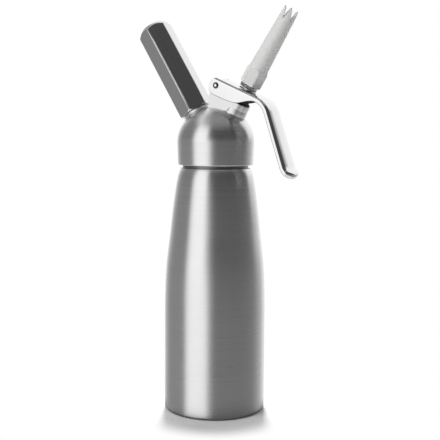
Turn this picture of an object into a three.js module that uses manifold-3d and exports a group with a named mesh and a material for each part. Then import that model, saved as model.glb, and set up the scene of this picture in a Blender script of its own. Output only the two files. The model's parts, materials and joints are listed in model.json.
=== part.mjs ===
// Whipped cream dispenser in millimetres, +Z up, origin at the centre of the bottle's base.
// The nozzle and the lever lie in the XZ plane towards +X, the charger holder leans towards -X.
// The nozzle's axis and the holder's axis meet on the bottle's axis. Heights of the pieces on
// these two leaning axes are measured along the axis from that meeting point.
import * as THREE from 'three';
import { mergeVertices } from 'three/addons/utils/BufferGeometryUtils.js';
import Module from 'manifold-3d';

const wasm = await Module();
wasm.setup();

// Driving dimensions of the whole object
const bottleRadius = 40.2;
const bottleHeight = 194;
const meetingRise = 17;
const meetingHeight = bottleHeight + meetingRise;
const lean = THREE.MathUtils.degToRad(32);
const fitGap = 0.3;
const cutOverrun = 2;
const fineSides = 40;
const middleSides = 24;
const smallSides = 16;

// Bottle
const bottleWall = 1.6;
const baseThickness = 2.4;
const baseRounding = 5;
const shoulderDrop = 6;
const neckRadius = 23.6;
const neckWall = 3;
const mouthRadius = neckRadius - neckWall;
const neckCollarStep = 2.4;
const neckCollarRadius = neckRadius + neckCollarStep;
const neckCollarHeight = 3.6;
const neckHeight = 15;
const neckChamfer = 0.6;
// Each pair is a share of the bottle's height and a share of its radius.
const bottleOutlineShares = [
  [0.44, 1], [0.536, 0.988], [0.603, 0.968], [0.67, 0.933], [0.737, 0.893],
  [0.804, 0.859], [0.869, 0.821], [0.933, 0.776], [0.969, 0.743], [0.99, 0.711], [1, 0.687],
];

// Thread between the bottle's neck and the head, right-handed
const neckLead = 3.2;
const neckThreadHeight = 1.2;
const neckThreadWidth = 1.15;
const neckThreadTurns = (neckHeight - neckCollarHeight - 4 * neckThreadWidth) / neckLead;
const neckThreadRoom = 0.4;
const threadSteps = 20;
const threadCrestSwell = 1 / Math.cos(Math.PI / threadSteps);
const threadBite = 0.5;

// Head: a turned dome over a skirt, hollow below
const seamGap = 2.6;
const skirtBore = neckRadius + neckThreadHeight + neckThreadRoom;
const skirtMouthRadius = neckCollarRadius + 2 * fitGap;
const domeWall = 5.3;
const domeRadius = skirtBore + domeWall;
const domeSpring = 18;
const domeRise = 28.2;
const skirtTaper = 0.6;
const skirtEdgeRadius = domeRadius - skirtTaper;
const skirtBevel = 0.9;
const cavityInset = 1.6;
const cavityRadius = mouthRadius - cavityInset;
const cavityTopRadius = 12;
const cavityWallHeight = 4.4;
const cavityDepth = 14.4;

// Gasket between the head and the bottle's mouth
const gasketThickness = 2;
const gasketEdgeRoom = 0.4;
const gasketInnerRadius = mouthRadius - gasketEdgeRoom;
const gasketOuterRadius = skirtBore - gasketEdgeRoom;

// Valve stem, with its seal and its foot nut
const stemRadius = 4;
const stemThreadHeight = 0.4;
const stemCore = stemRadius - stemThreadHeight;
const stemWall = 1.2;
const stemBore = stemCore - stemWall;
const stemStudRadius = 2.6;
const stemStudEnd = 0.4;
const stemPortRadius = 1.1;
const stemPortRise = 0.9;
const stemThreadLead = 1.8;
const stemThreadWidth = 0.8;
const stemThreadSteps = 10;
const sealRadius = 5.8;
const sealThickness = 2.3;
const footNutWidth = 9;
const footNutHeight = 2.5;
const ringSection = 0.7;
const ringGap = 0.35;
const ringRadius = stemRadius + ringGap + ringSection;

// Nozzle boss on the head and its bores
const bossTop = 41.5;
const bossRootHeight = 21;
const bossCollarHeight = 5.5;
const bossTaperLength = 5;
const bossTaperEnd = bossTop - bossCollarHeight;
const bossTaperStart = bossTaperEnd - bossTaperLength;
const bossChamfer = 0.8;
const plungerBore = 6.9;
const plungerBoreDepth = 11.5;
const plungerBoreFloor = bossTop - plungerBoreDepth;
const bossWall = 2;
const bossRadius = plungerBore + bossWall;
const bossFlare = 0.4;
const bossRootRadius = bossRadius + bossFlare;
const ringBore = ringRadius + ringSection + ringGap;
const ringBoreRoom = 0.5;
const ringBoreFloor = plungerBoreFloor - 2 * ringSection - ringBoreRoom;
const valveSeatWall = 4.1;
const valveSeatHeight = ringBoreFloor - valveSeatWall;
const valveChamberRadius = sealRadius + 2 * fitGap;
const valveChamberDepth = 12;

// Heights of the stem's lower end, which hangs from the valve's seat
const stemBoreFloor = valveSeatHeight + stemPortRise;
const stemPortHeight = stemBoreFloor + stemPortRadius;
const sealTop = valveSeatHeight - fitGap;
const footNutTop = sealTop - sealThickness - fitGap;
const stemFoot = footNutTop - footNutHeight - stemStudEnd;

// Thimble that the lever presses, and the spring below it
const bushHeight = 1.7;
const valveTravel = 4;
const thimbleRoom = 0.7;
const thimbleWall = 0.8;
const thimbleFlangeRadius = 8;
const thimbleFlangeBottom = bossTop + valveTravel + thimbleRoom;
const thimbleFlangeThickness = 1.9;
const thimbleFlangeTop = thimbleFlangeBottom + thimbleFlangeThickness;
const thimbleCrown = 2;
const thimbleTop = thimbleFlangeTop + thimbleCrown;
const thimbleRoof = thimbleFlangeBottom - fitGap;
const thimbleSkirtDepth = 9.3;
const thimbleSkirtBottom = thimbleRoof - thimbleSkirtDepth;
const springWire = 0.9;
const springRadius = (stemRadius + plungerBore - fitGap - thimbleWall) / 2;
const springCurls = 6;
const springSteps = 8;
const springSides = 5;

// Lever: a pressed channel of sheet steel, measured from its pin with x along the head's flat top
const blockWidth = 18;
const leverSlope = THREE.MathUtils.degToRad(23.2);
const leverTilt = lean - leverSlope;
const leverBend = THREE.MathUtils.degToRad(48.2);
const leverTipBend = THREE.MathUtils.degToRad(27);
const leverSheet = 1.2;
const leverWidth = blockWidth + 2 * (fitGap + leverSheet);
const leverTopRise = 6;
const leverSeatGap = 1.3;
const leverSeat = thimbleTop + leverSeatGap;
const leverCorner = 2.6;
const lugRadius = leverTopRise - leverSheet - 3 * fitGap;
const leverRim = 4.5;
const leverHeadLength = 44.6;
const leverHandleLength = 53.5;
const leverTipLength = 7.4;
const leverBendRadius = 19;
const leverTipRadius = 8;
const leverWebStart = 0.4;
const leverArcSteps = 7;
const leverCornerSteps = 3;
const leverTipWidthShares = [1, 0.98, 0.91, 0.79, 0.6, 0.29];
const earRadius = 6.7;
const earCentreDrop = 0.7;
const earDepth = 13.4;
const earArcSteps = 12;
// Each pair is a share of the lever head's length and a share of the ear's depth.
const earOutlineShares = [
  [0.117, 1], [0.265, 0.98], [0.39, 0.94], [0.487, 0.86], [0.545, 0.77],
  [0.65, 0.545], [0.718, 0.425], [0.78, 0.35], [0.85, 0.31],
];

// Pin, placed so that the lever's underside rests on the thimble
const pinX = 5.7;
const pinHeight = (leverSeat * Math.cos(leverTilt) - leverTopRise + leverSheet
  - pinX * Math.sin(leverSlope)) / Math.cos(leverSlope);
const pinRadius = 2.2;
const pinDome = 0.7;
const pinStandOut = 0.5;

// Slot in the lever that the stem passes through
const stemSlotWidth = 2 * (stemRadius + 2 * fitGap);
const stemSlotRun = 3.4;
const stemSlotLength = stemSlotWidth + stemSlotRun;
const stemSlotShift = 0.57;
const stemSlotCentre = (leverSeat + leverSheet / 2) * Math.sin(leverTilt)
  - pinX * Math.cos(leverSlope) + pinHeight * Math.sin(leverSlope) - stemSlotShift;

// Polished block on the head, which carries the lever's pin
const blockBack = 7.3;
const blockFront = 12.8;
const blockLeft = pinX - blockBack;
const blockRight = pinX + blockFront;
const blockShoulderFall = 8.1;
const blockShoulder = pinHeight - blockShoulderFall;
const blockRootHeight = 21;
const blockSaddleStart = 5.9;
const blockSaddleRun = 2.6;
const blockSaddleLeft = pinX + blockSaddleStart;
const blockSaddleRight = blockSaddleLeft + blockSaddleRun;
const blockSaddleFall = 6.1;
const blockSaddleHeight = pinHeight - blockSaddleFall;
const blockSaddleDrop = 2.1;
const blockRightFall = 14.2;
const blockRightHeight = pinHeight - blockRightFall;

// Washer and lock nut on the stem, above the lever
const washerRadius = 7.2;
const washerThickness = 0.6;
const washerBottom = leverSeat + leverSheet / Math.cos(leverTilt)
  + washerRadius * Math.tan(leverTilt) + fitGap;
const stemNutWidth = 12.4;
const stemNutHeight = 1.5;
const stemNutBottom = washerBottom + washerThickness + fitGap;

// Nozzle
const nozzleSeatGap = 0.6;
const nozzleBottom = stemNutBottom + stemNutHeight + nozzleSeatGap;
const nozzleLength = 65;
const nozzleTop = nozzleBottom + nozzleLength;
const nozzleBaseRadius = 7.7;
const nozzleTipRadius = 6;
const nozzleWall = 1.5;
const nozzleCollarStep = 0.05;
const nozzleCollarWidth = 2 * (nozzleBaseRadius + nozzleCollarStep);
const nozzleCollarHeight = 14.5;
const nozzleCollarBevel = 1.6;
const nozzleCollarTurn = THREE.MathUtils.degToRad(-20);
const nozzleSocketDepth = 10;
const nozzleSocketTop = nozzleBottom + nozzleSocketDepth;
const nozzleGasketThickness = 1.3;
const nozzleGasketWidth = 1.3;
const nozzleGasketRadius = stemRadius + fitGap + nozzleGasketWidth;
const nozzleRecessDepth = nozzleGasketThickness + 2 * fitGap - nozzleSeatGap;
const nozzleProngs = 6;
const nozzleNotchDepth = 9;
const nozzleNotchWidth = 4.9;
const nozzleSides = 30;

// The stem's upper end, which the nozzle screws onto
const stemThreadStart = washerBottom;
const stemTopRoom = 1;
const stemTop = nozzleSocketTop - stemTopRoom;

// Charger port on the head
const stubRadius = 9.6;
const portShoulder = 1.9;
const portRadius = stubRadius + portShoulder;
const portRootHeight = 21;
const portTop = 32.2;
const stubThreadHeight = 0.8;
const stubThreadLead = 2;
const stubThreadWidth = 0.75;
const stubHeight = 12.8;
const stubTop = portTop + stubHeight;
const stubBore = 6.1;
const stubBoreRise = 3;
const stubBoreFloor = portTop + stubBoreRise;

// Piercing pin, its seal and the non-return sleeve on its tail
const piercingFlangeHeight = 1.8;
const portGasketThickness = 3;
const portGasketBottom = stubBoreFloor + fitGap + piercingFlangeHeight + fitGap;
const chargerBottom = portGasketBottom + portGasketThickness + fitGap;
const needleRadius = 1.1;
const needleTipRadius = 0.75;
const needleReach = 2.7;
const needleTop = chargerBottom + needleReach;
const needlePoint = 1.6;
const needleBore = 0.5;
const needleRoom = 0.4;
const needleHole = needleRadius + needleRoom;
const tailRadius = 2.4;
const tailEnd = 0.5;
const sleeveLength = 10;
const sleeveThickness = 0.9;
const sleeveDrop = 4.2;
const sleeveBottom = stubBoreFloor - sleeveDrop - sleeveLength;
const sleeveRoom = 0.5;
const checkCapHeight = 3.2;
const checkCapBottom = sleeveBottom - fitGap - checkCapHeight;
const tailBottom = checkCapBottom - tailEnd;
const gasBore = tailRadius + fitGap + sleeveThickness + sleeveRoom;
const gasBoreDepth = 12;

// Charger
const chargerRadius = 8.9;
const chargerLength = 65.4;
const chargerNeckRadius = 4.4;
const chargerNeckLength = 6.2;
const chargerShoulderLength = 6;
const chargerEndRise = 7.5;
const chargerWall = 1.5;

// Charger holder
const holderSocketRadius = stubRadius + stubThreadHeight + fitGap;
const holderWall = 1.55;
const holderWidth = 2 * (holderSocketRadius + holderWall);
const chargerRoom = 0.4;
const holderBore = chargerRadius + chargerRoom;
const holderBoreTop = chargerBottom + chargerLength + fitGap;
const holderEndWall = 5.4;
const holderTop = holderBoreTop + holderEndWall;
const holderSocketRoom = 1;
const holderSocketDepth = stubHeight + holderSocketRoom;
const holderTopBevel = 4.2;
const holderTopStep = 1.65;
const holderTopRadius = holderWidth / 2 - holderTopStep;
const holderFootBevel = 1.4;
const holderTurn = THREE.MathUtils.degToRad(6);

// Solids from geometries, and back
const weldTolerance = 0.0001;

function solidFromArrays(positions, faces) {
  const corner = (index) => new THREE.Vector3().fromArray(positions, 3 * index);
  let volume = 0;
  for (let face = 0; face < faces.length; face += 3) {
    const [a, b, c] = [0, 1, 2].map((offset) => corner(faces[face + offset]));
    volume += a.dot(b.cross(c));
  }
  const outward = volume > 0 ? faces : faces.slice().reverse();
  return new wasm.Manifold(new wasm.Mesh({
    numProp: 3,
    vertProperties: Float32Array.from(positions),
    triVerts: Uint32Array.from(outward),
  }));
}

function solidOf(geometry) {
  geometry.deleteAttribute('normal');
  geometry.deleteAttribute('uv');
  const welded = mergeVertices(geometry, weldTolerance);
  const index = welded.index.array;
  const faces = [];
  for (let face = 0; face < index.length; face += 3) {
    const [a, b, c] = [index[face], index[face + 1], index[face + 2]];
    if (a !== b && b !== c && c !== a) {
      faces.push(a, b, c);
    }
  }
  return solidFromArrays(Array.from(welded.attributes.position.array), faces);
}

function geometryOf(solid) {
  const mesh = solid.getMesh();
  const geometry = new THREE.BufferGeometry();
  geometry.setAttribute('position', new THREE.BufferAttribute(mesh.vertProperties, 3));
  geometry.setIndex(new THREE.BufferAttribute(mesh.triVerts, 1));
  geometry.computeVertexNormals();
  return geometry;
}

const joinAll = (solids) => solids.reduce((whole, solid) => whole.add(solid));
const cutAll = (base, tools) => tools.reduce((whole, tool) => whole.subtract(tool), base);

// A body turned about the Z axis. The profile is a list of [radius, height], outside going up.
function turned(profile, sides = fineSides) {
  const points = profile.map(([radius, height]) => new THREE.Vector2(radius, height));
  const geometry = new THREE.LatheGeometry(points, sides);
  geometry.rotateX(Math.PI / 2);
  return solidOf(geometry);
}

const rod = (radius, bottom, top, sides = middleSides) => turned(
  [[0, bottom], [radius, bottom], [radius, top], [0, top]], sides);

const tube = (inner, outer, bottom, top, sides = middleSides) => turned(
  [[inner, bottom], [outer, bottom], [outer, top], [inner, top], [inner, bottom]], sides);

// A hexagonal prism with the given width across its flats
function hexBar(width, bottom, top, turn = 0) {
  const sides = 6;
  const cornerRadius = width / 2 / Math.cos(Math.PI / sides);
  const bar = new THREE.CylinderGeometry(cornerRadius, cornerRadius, top - bottom, sides);
  bar.rotateX(Math.PI / 2);
  bar.rotateZ(turn);
  bar.translate(0, 0, (top + bottom) / 2);
  return solidOf(bar);
}

// A flat plate with its outline in the XZ plane
function plate(outline, thickness, middleY = 0) {
  const shape = new THREE.Shape(outline.map(([x, z]) => new THREE.Vector2(x, z)));
  const geometry = new THREE.ExtrudeGeometry(shape, { depth: thickness, bevelEnabled: false });
  geometry.rotateX(Math.PI / 2);
  geometry.translate(0, middleY + thickness / 2, 0);
  return solidOf(geometry);
}

// A body through rings that all have the corners of one contour
function lofted(rings, contour) {
  const count = contour.length;
  const faces = [];
  for (let ring = 0; ring + 1 < rings.length; ring += 1) {
    for (let side = 0; side < count; side += 1) {
      const a = ring * count + side;
      const b = ring * count + ((side + 1) % count);
      faces.push(a, b, b + count, a, b + count, a + count);
    }
  }
  const flat = THREE.ShapeUtils.triangulateShape(contour.slice(), []);
  const firstFlat = flat[0].map((index) => contour[index]);
  const sameTurn = THREE.ShapeUtils.area(firstFlat) * THREE.ShapeUtils.area(contour) > 0;
  const last = (rings.length - 1) * count;
  for (const triangle of flat) {
    const [a, b, c] = sameTurn ? triangle : triangle.slice().reverse();
    faces.push(c, b, a, last + a, last + b, last + c);
  }
  const positions = rings.flat().flatMap((point) => [point.x, point.y, point.z]);
  return solidFromArrays(positions, faces);
}

// A right-handed thread ridge. The root radius lies inside the wall that carries the ridge.
function threadRidge({ root, crest, bottom, lead, turns, width, steps }) {
  const flank = width / 4;
  const contour = [[root, 0], [crest, flank], [crest, width - flank], [root, width]];
  const rings = [];
  for (let step = 0; step <= turns * steps; step += 1) {
    const angle = (2 * Math.PI * step) / steps;
    const rise = bottom + (lead * step) / steps;
    rings.push(contour.map(([radius, height]) => new THREE.Vector3(
      radius * Math.cos(angle), radius * Math.sin(angle), rise + height)));
  }
  return lofted(rings, contour.map(([x, y]) => new THREE.Vector2(x, y)));
}

// A round arc as a list of [x, y] points
function arc(centreX, centreY, radius, from, to, steps) {
  const points = [];
  for (let step = 0; step <= steps; step += 1) {
    const angle = from + ((to - from) * step) / steps;
    points.push([centreX + radius * Math.cos(angle), centreY + radius * Math.sin(angle)]);
  }
  return points;
}

const group = new THREE.Group();
const nozzleLine = new THREE.Group();
nozzleLine.position.z = meetingHeight;
nozzleLine.rotation.y = lean;
const chargerLine = new THREE.Group();
chargerLine.position.z = meetingHeight;
chargerLine.rotation.y = -lean;
const leverFrame = new THREE.Group();
leverFrame.position.set(pinX, 0, meetingHeight + pinHeight);
leverFrame.rotation.y = leverSlope;
group.add(nozzleLine, chargerLine, leverFrame);

const onNozzleLine = (solid) => solid.transform(
  new THREE.Matrix4().makeTranslation(0, 0, meetingHeight)
    .multiply(new THREE.Matrix4().makeRotationY(lean)).toArray());
const onChargerLine = (solid) => solid.transform(
  new THREE.Matrix4().makeTranslation(0, 0, meetingHeight)
    .multiply(new THREE.Matrix4().makeRotationY(-lean)).toArray());

const finishes = {
  brushedAluminium: { color: 0xb4b6b8, roughness: 0.38, metalness: 1 },
  polishedSteel: { color: 0xd9dadb, roughness: 0.12, metalness: 1 },
  springSteel: { color: 0x9a9c9f, roughness: 0.3, metalness: 1 },
  brass: { color: 0xb99a55, roughness: 0.35, metalness: 1 },
  milkyPlastic: { color: 0xe4e4e2, roughness: 0.35, metalness: 0 },
  blackPlastic: { color: 0x1a1a1b, roughness: 0.45, metalness: 0 },
  blackRubber: { color: 0x232324, roughness: 0.8, metalness: 0 },
  redRubber: { color: 0x8e2f2a, roughness: 0.75, metalness: 0 },
  chargerSteel: { color: 0xa8aaad, roughness: 0.25, metalness: 1 },
};

function addPiece(parent, name, solid, finish) {
  const mesh = new THREE.Mesh(geometryOf(solid), new THREE.MeshStandardMaterial(finishes[finish]));
  mesh.name = name;
  parent.add(mesh);
}

// The bottle: one drawn shell with a thicker neck and a male thread
function makeBottle() {
  const outside = bottleOutlineShares.map(
    ([height, radius]) => [bottleRadius * radius, bottleHeight * height]);
  const baseArc = arc(bottleRadius - baseRounding, baseRounding, baseRounding, -Math.PI / 2, 0, 4);
  const mouthHeight = bottleHeight + neckHeight;
  const collarTop = bottleHeight + neckCollarHeight;
  const inside = outside.filter(([, height]) => height < bottleHeight - shoulderDrop)
    .map(([radius, height]) => [radius - bottleWall, height]).reverse();
  const innerBaseRadius = bottleRadius - bottleWall;
  const shell = turned([
    [0, 0],
    ...baseArc,
    ...outside,
    [neckCollarRadius, bottleHeight + fitGap],
    [neckCollarRadius, collarTop],
    [neckRadius, collarTop],
    [neckRadius, mouthHeight - neckChamfer],
    [neckRadius - neckChamfer, mouthHeight],
    [mouthRadius, mouthHeight],
    [mouthRadius, bottleHeight - shoulderDrop / 3],
    ...inside,
    [innerBaseRadius, baseThickness + baseRounding],
    [innerBaseRadius - baseRounding / 3, baseThickness + baseRounding / 4],
    [innerBaseRadius - baseRounding, baseThickness],
    [0, baseThickness],
  ]);
  const thread = threadRidge({
    root: neckRadius - threadBite,
    crest: neckRadius + neckThreadHeight,
    bottom: collarTop + neckThreadWidth,
    lead: neckLead,
    turns: neckThreadTurns,
    width: neckThreadWidth,
    steps: threadSteps,
  });
  return shell.add(thread);
}

// The head: dome, skirt, block, boss and port in one casting
const skirtBottom = bottleHeight + seamGap;
const mouthTop = bottleHeight + neckHeight;
const gasketBottom = mouthTop + fitGap;
const gasketLedge = gasketBottom + gasketThickness + fitGap;

function makeDome() {
  const domeSteps = 14;
  const springHeight = skirtBottom + domeSpring;
  const dome = [];
  for (let step = 0; step <= domeSteps; step += 1) {
    const angle = (Math.PI / 2 * step) / domeSteps;
    dome.push([domeRadius * Math.cos(angle), springHeight + domeRise * Math.sin(angle)]);
  }
  dome[domeSteps][0] = 0;
  const skirtMouthTop = bottleHeight + neckCollarHeight + fitGap;
  return turned([
    [0, gasketLedge + cavityDepth],
    [cavityTopRadius, gasketLedge + cavityDepth],
    [cavityRadius, gasketLedge + cavityWallHeight],
    [cavityRadius, gasketLedge],
    [skirtBore, gasketLedge],
    [skirtBore, skirtMouthTop + skirtMouthRadius - skirtBore],
    [skirtMouthRadius, skirtMouthTop],
    [skirtMouthRadius, skirtBottom],
    [skirtEdgeRadius - skirtBevel, skirtBottom],
    [skirtEdgeRadius, skirtBottom + skirtBevel],
    ...dome,
  ]);
}

function makeBlock() {
  const lugTop = arc(pinX, pinHeight, lugRadius, THREE.MathUtils.degToRad(-25),
    THREE.MathUtils.degToRad(190), 10);
  const outline = [
    [blockLeft, blockRootHeight],
    [blockRight, blockRootHeight],
    [blockRight, blockRightHeight],
    [blockSaddleRight, blockSaddleHeight - blockSaddleDrop],
    [blockSaddleLeft, blockSaddleHeight],
    ...lugTop,
    [blockLeft, blockShoulder],
  ];
  return plate(outline, blockWidth).translate([0, 0, meetingHeight]);
}

function makeBoss() {
  return onNozzleLine(turned([
    [0, bossRootHeight],
    [bossRootRadius, bossRootHeight],
    [bossRootRadius, bossTaperStart],
    [bossRadius, bossTaperEnd],
    [bossRadius, bossTop - bossChamfer],
    [bossRadius - bossChamfer, bossTop],
    [0, bossTop],
  ]));
}

function makePort() {
  const thread = threadRidge({
    root: stubRadius - threadBite,
    crest: stubRadius + stubThreadHeight,
    bottom: portTop + stubThreadLead / 2,
    lead: stubThreadLead,
    turns: (stubTop - portTop) / stubThreadLead - 1,
    width: stubThreadWidth,
    steps: threadSteps,
  });
  const port = turned([
    [0, portRootHeight],
    [portRadius, portRootHeight],
    [portRadius, portTop - bossChamfer],
    [portRadius - bossChamfer, portTop],
    [stubRadius, portTop],
    [stubRadius, stubTop],
    [0, stubTop],
  ]);
  return onChargerLine(port.add(thread));
}

function makeHead() {
  const nozzleBores = joinAll([
    rod(plungerBore, plungerBoreFloor, bossTop + cutOverrun),
    rod(ringBore, ringBoreFloor, plungerBoreFloor + cutOverrun),
    rod(stemRadius + fitGap, valveSeatHeight - cutOverrun, ringBoreFloor + cutOverrun),
    rod(valveChamberRadius, valveSeatHeight - valveChamberDepth, valveSeatHeight),
  ]);
  const chargerBores = joinAll([
    rod(stubBore, stubBoreFloor, stubTop + cutOverrun),
    rod(gasBore, portRootHeight - gasBoreDepth, stubBoreFloor + cutOverrun),
  ]);
  const pinHole = rod(pinRadius + fitGap, -blockWidth, blockWidth, smallSides)
    .rotate([90, 0, 0]).translate([pinX, 0, meetingHeight + pinHeight]);
  const thread = threadRidge({
    root: skirtBore + threadBite,
    crest: (neckRadius + fitGap) * threadCrestSwell,
    bottom: bottleHeight + neckCollarHeight + neckThreadWidth + neckLead / 2,
    lead: neckLead,
    turns: neckThreadTurns,
    width: neckThreadWidth,
    steps: threadSteps,
  });
  const whole = joinAll([makeDome(), makeBlock(), makeBoss(), makePort()]);
  return cutAll(whole, [onNozzleLine(nozzleBores), onChargerLine(chargerBores), pinHole]).add(thread);
}

// The lever's outer face as stations with a place and a heading, from the pin's end to the tip
function leverStations() {
  const down = -leverBend;
  const out = leverTipBend - leverBend;
  const headEnd = new THREE.Vector2(leverHeadLength, leverTopRise);
  const heading = (angle) => new THREE.Vector2(Math.cos(angle), Math.sin(angle));
  const handleEnd = headEnd.clone().addScaledVector(heading(down), leverHandleLength);
  const stations = [{ at: new THREE.Vector2(leverWebStart, leverTopRise), angle: 0 }];
  const bend = (cornerPoint, from, to, radius) => {
    const reach = radius * Math.tan(Math.abs(to - from) / 2);
    const side = Math.sign(to - from);
    const start = cornerPoint.clone().addScaledVector(heading(from), -reach);
    const centre = start.clone().addScaledVector(heading(from + (side * Math.PI) / 2), radius);
    for (let step = 0; step <= leverArcSteps; step += 1) {
      const angle = from + ((to - from) * step) / leverArcSteps;
      const at = centre.clone().addScaledVector(heading(angle - (side * Math.PI) / 2), radius);
      stations.push({ at, angle });
    }
  };
  bend(headEnd, 0, down, leverBendRadius);
  bend(handleEnd, down, out, leverTipRadius);
  const tipReach = leverTipRadius * Math.tan(leverTipBend / 2);
  const tipSteps = leverTipWidthShares.length - 1;
  for (let step = 1; step <= tipSteps; step += 1) {
    const along = tipReach + ((leverTipLength - tipReach) * step) / tipSteps;
    stations.push({ at: handleEnd.clone().addScaledVector(heading(out), along), angle: out });
  }
  return stations;
}

// The channel's section: two rims and a web with round corners, as [across, outward]
function channelSection(halfWidth) {
  const cornerX = halfWidth - leverCorner;
  const inner = leverCorner - leverSheet;
  const quarter = Math.PI / 2;
  return [
    [-halfWidth, -leverRim],
    ...arc(-cornerX, -leverCorner, leverCorner, 2 * quarter, quarter, leverCornerSteps),
    ...arc(cornerX, -leverCorner, leverCorner, quarter, 0, leverCornerSteps),
    [halfWidth, -leverRim],
    [halfWidth - leverSheet, -leverRim],
    ...arc(cornerX, -leverCorner, inner, 0, quarter, leverCornerSteps),
    ...arc(-cornerX, -leverCorner, inner, quarter, 2 * quarter, leverCornerSteps),
    [leverSheet - halfWidth, -leverRim],
  ];
}

function makeLever() {
  const stations = leverStations();
  const tipStart = stations.length - leverTipWidthShares.length;
  const rings = stations.map(({ at, angle }, index) => {
    const share = index < tipStart ? 1 : leverTipWidthShares[index - tipStart];
    const outward = new THREE.Vector2(-Math.sin(angle), Math.cos(angle));
    const section = channelSection((leverWidth / 2) * share);
    return section.map(([across, out]) => new THREE.Vector3(
      at.x + outward.x * out, across, at.y + outward.y * out));
  });
  const contour = channelSection(leverWidth / 2).map(([x, y]) => new THREE.Vector2(x, y));
  const channel = lofted(rings, contour);
  const earEdge = earOutlineShares.map(
    ([along, down]) => [leverHeadLength * along, leverTopRise - earDepth * down]);
  const earEnd = earEdge[earEdge.length - 1][0];
  const earOutline = [
    ...arc(leverWebStart, -earCentreDrop, earRadius, Math.PI / 2, Math.PI * 1.5, earArcSteps),
    ...earEdge,
    [earEnd, leverTopRise - leverCorner],
    [leverWebStart + leverCorner, leverTopRise - leverCorner],
  ];
  const earMiddle = (leverWidth - leverSheet) / 2;
  const ears = [-earMiddle, earMiddle].map((middleY) => plate(earOutline, leverSheet, middleY));
  const pinHole = rod(pinRadius + fitGap, -leverWidth, leverWidth, smallSides).rotate([90, 0, 0]);
  const slotHalf = (stemSlotLength - stemSlotWidth) / 2;
  const slotReach = leverTopRise + cutOverrun;
  const slotEnds = [-slotHalf, slotHalf].map((offset) => rod(
    stemSlotWidth / 2, leverTopRise - leverCorner, slotReach, smallSides)
    .translate([stemSlotCentre + offset, 0, 0]));
  const slotMiddle = solidOf(new THREE.BoxGeometry(2 * slotHalf, stemSlotWidth, slotReach - leverTopRise
    + leverCorner).translate(stemSlotCentre, 0, (slotReach + leverTopRise - leverCorner) / 2));
  return cutAll(joinAll([channel, ...ears]), [pinHole, ...slotEnds, slotMiddle]);
}

function makeLeverPin() {
  const half = leverWidth / 2 + pinStandOut;
  return turned([
    [0, -half - pinDome],
    [pinRadius / 2, -half - pinDome * 0.75],
    [pinRadius, -half],
    [pinRadius, half],
    [pinRadius / 2, half + pinDome * 0.75],
    [0, half + pinDome],
  ], smallSides).rotate([90, 0, 0]);
}

// The hollow valve stem with two side ports, a stud below and a thread above
function makeValveStem() {
  const body = turned([
    [0, stemFoot],
    [stemStudRadius, stemFoot],
    [stemStudRadius, valveSeatHeight],
    [stemRadius, valveSeatHeight],
    [stemRadius, stemThreadStart - stemThreadLead],
    [stemCore, stemThreadStart],
    [stemCore, stemTop],
    [stemBore, stemTop],
    [stemBore, stemBoreFloor],
    [0, stemBoreFloor],
  ], smallSides);
  const thread = threadRidge({
    root: stemCore - threadBite,
    crest: stemRadius,
    bottom: stemThreadStart,
    lead: stemThreadLead,
    turns: Math.floor((stemTop - stemThreadStart) / stemThreadLead) - 1,
    width: stemThreadWidth,
    steps: stemThreadSteps,
  });
  const port = rod(stemPortRadius, -2 * stemRadius, 2 * stemRadius, 8)
    .rotate([90, 0, 0]).translate([0, 0, stemPortHeight]);
  return body.add(thread).subtract(port);
}

function makeThimble() {
  const skirtRadius = plungerBore - fitGap;
  const bore = stemRadius + fitGap;
  return turned([
    [skirtRadius - thimbleWall, thimbleSkirtBottom],
    [skirtRadius, thimbleSkirtBottom],
    [skirtRadius, thimbleFlangeBottom],
    [thimbleFlangeRadius, thimbleFlangeBottom],
    [thimbleFlangeRadius, thimbleFlangeTop],
    [(thimbleFlangeRadius + bore) / 2, (thimbleFlangeTop + 2 * thimbleTop) / 3],
    [bore, thimbleTop],
    [bore, thimbleRoof],
    [skirtRadius - thimbleWall, thimbleRoof],
    [skirtRadius - thimbleWall, thimbleSkirtBottom],
  ]);
}

// The valve spring is one unbroken wire, and its curls keep clear of each other.
function makeValveSpring() {
  const bottom = plungerBoreFloor + fitGap + bushHeight + fitGap + springWire / 2;
  const top = thimbleRoof - fitGap - springWire / 2;
  const section = arc(0, 0, springWire / 2, 0, 2 * Math.PI, springSides).slice(0, springSides);
  const total = springCurls * springSteps;
  const rings = [];
  const centres = [];
  for (let step = 0; step <= total; step += 1) {
    const angle = (2 * Math.PI * step) / springSteps;
    const rise = bottom + ((top - bottom) * step) / total;
    const point = (radius, height) => new THREE.Vector3(
      radius * Math.cos(angle), radius * Math.sin(angle), height);
    rings.push(section.map(([out, up]) => point(springRadius + out, rise + up)));
    centres.push(point(springRadius, rise));
  }
  let leastGap = Infinity;
  for (let step = 0; step + springSteps <= total; step += 1) {
    leastGap = Math.min(leastGap, centres[step].distanceTo(centres[step + springSteps]) - springWire);
  }
  console.log(`valve_spring least gap to itself ${leastGap.toFixed(2)} mm`);
  return lofted(rings, section.map(([x, y]) => new THREE.Vector2(x, y)));
}

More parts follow.
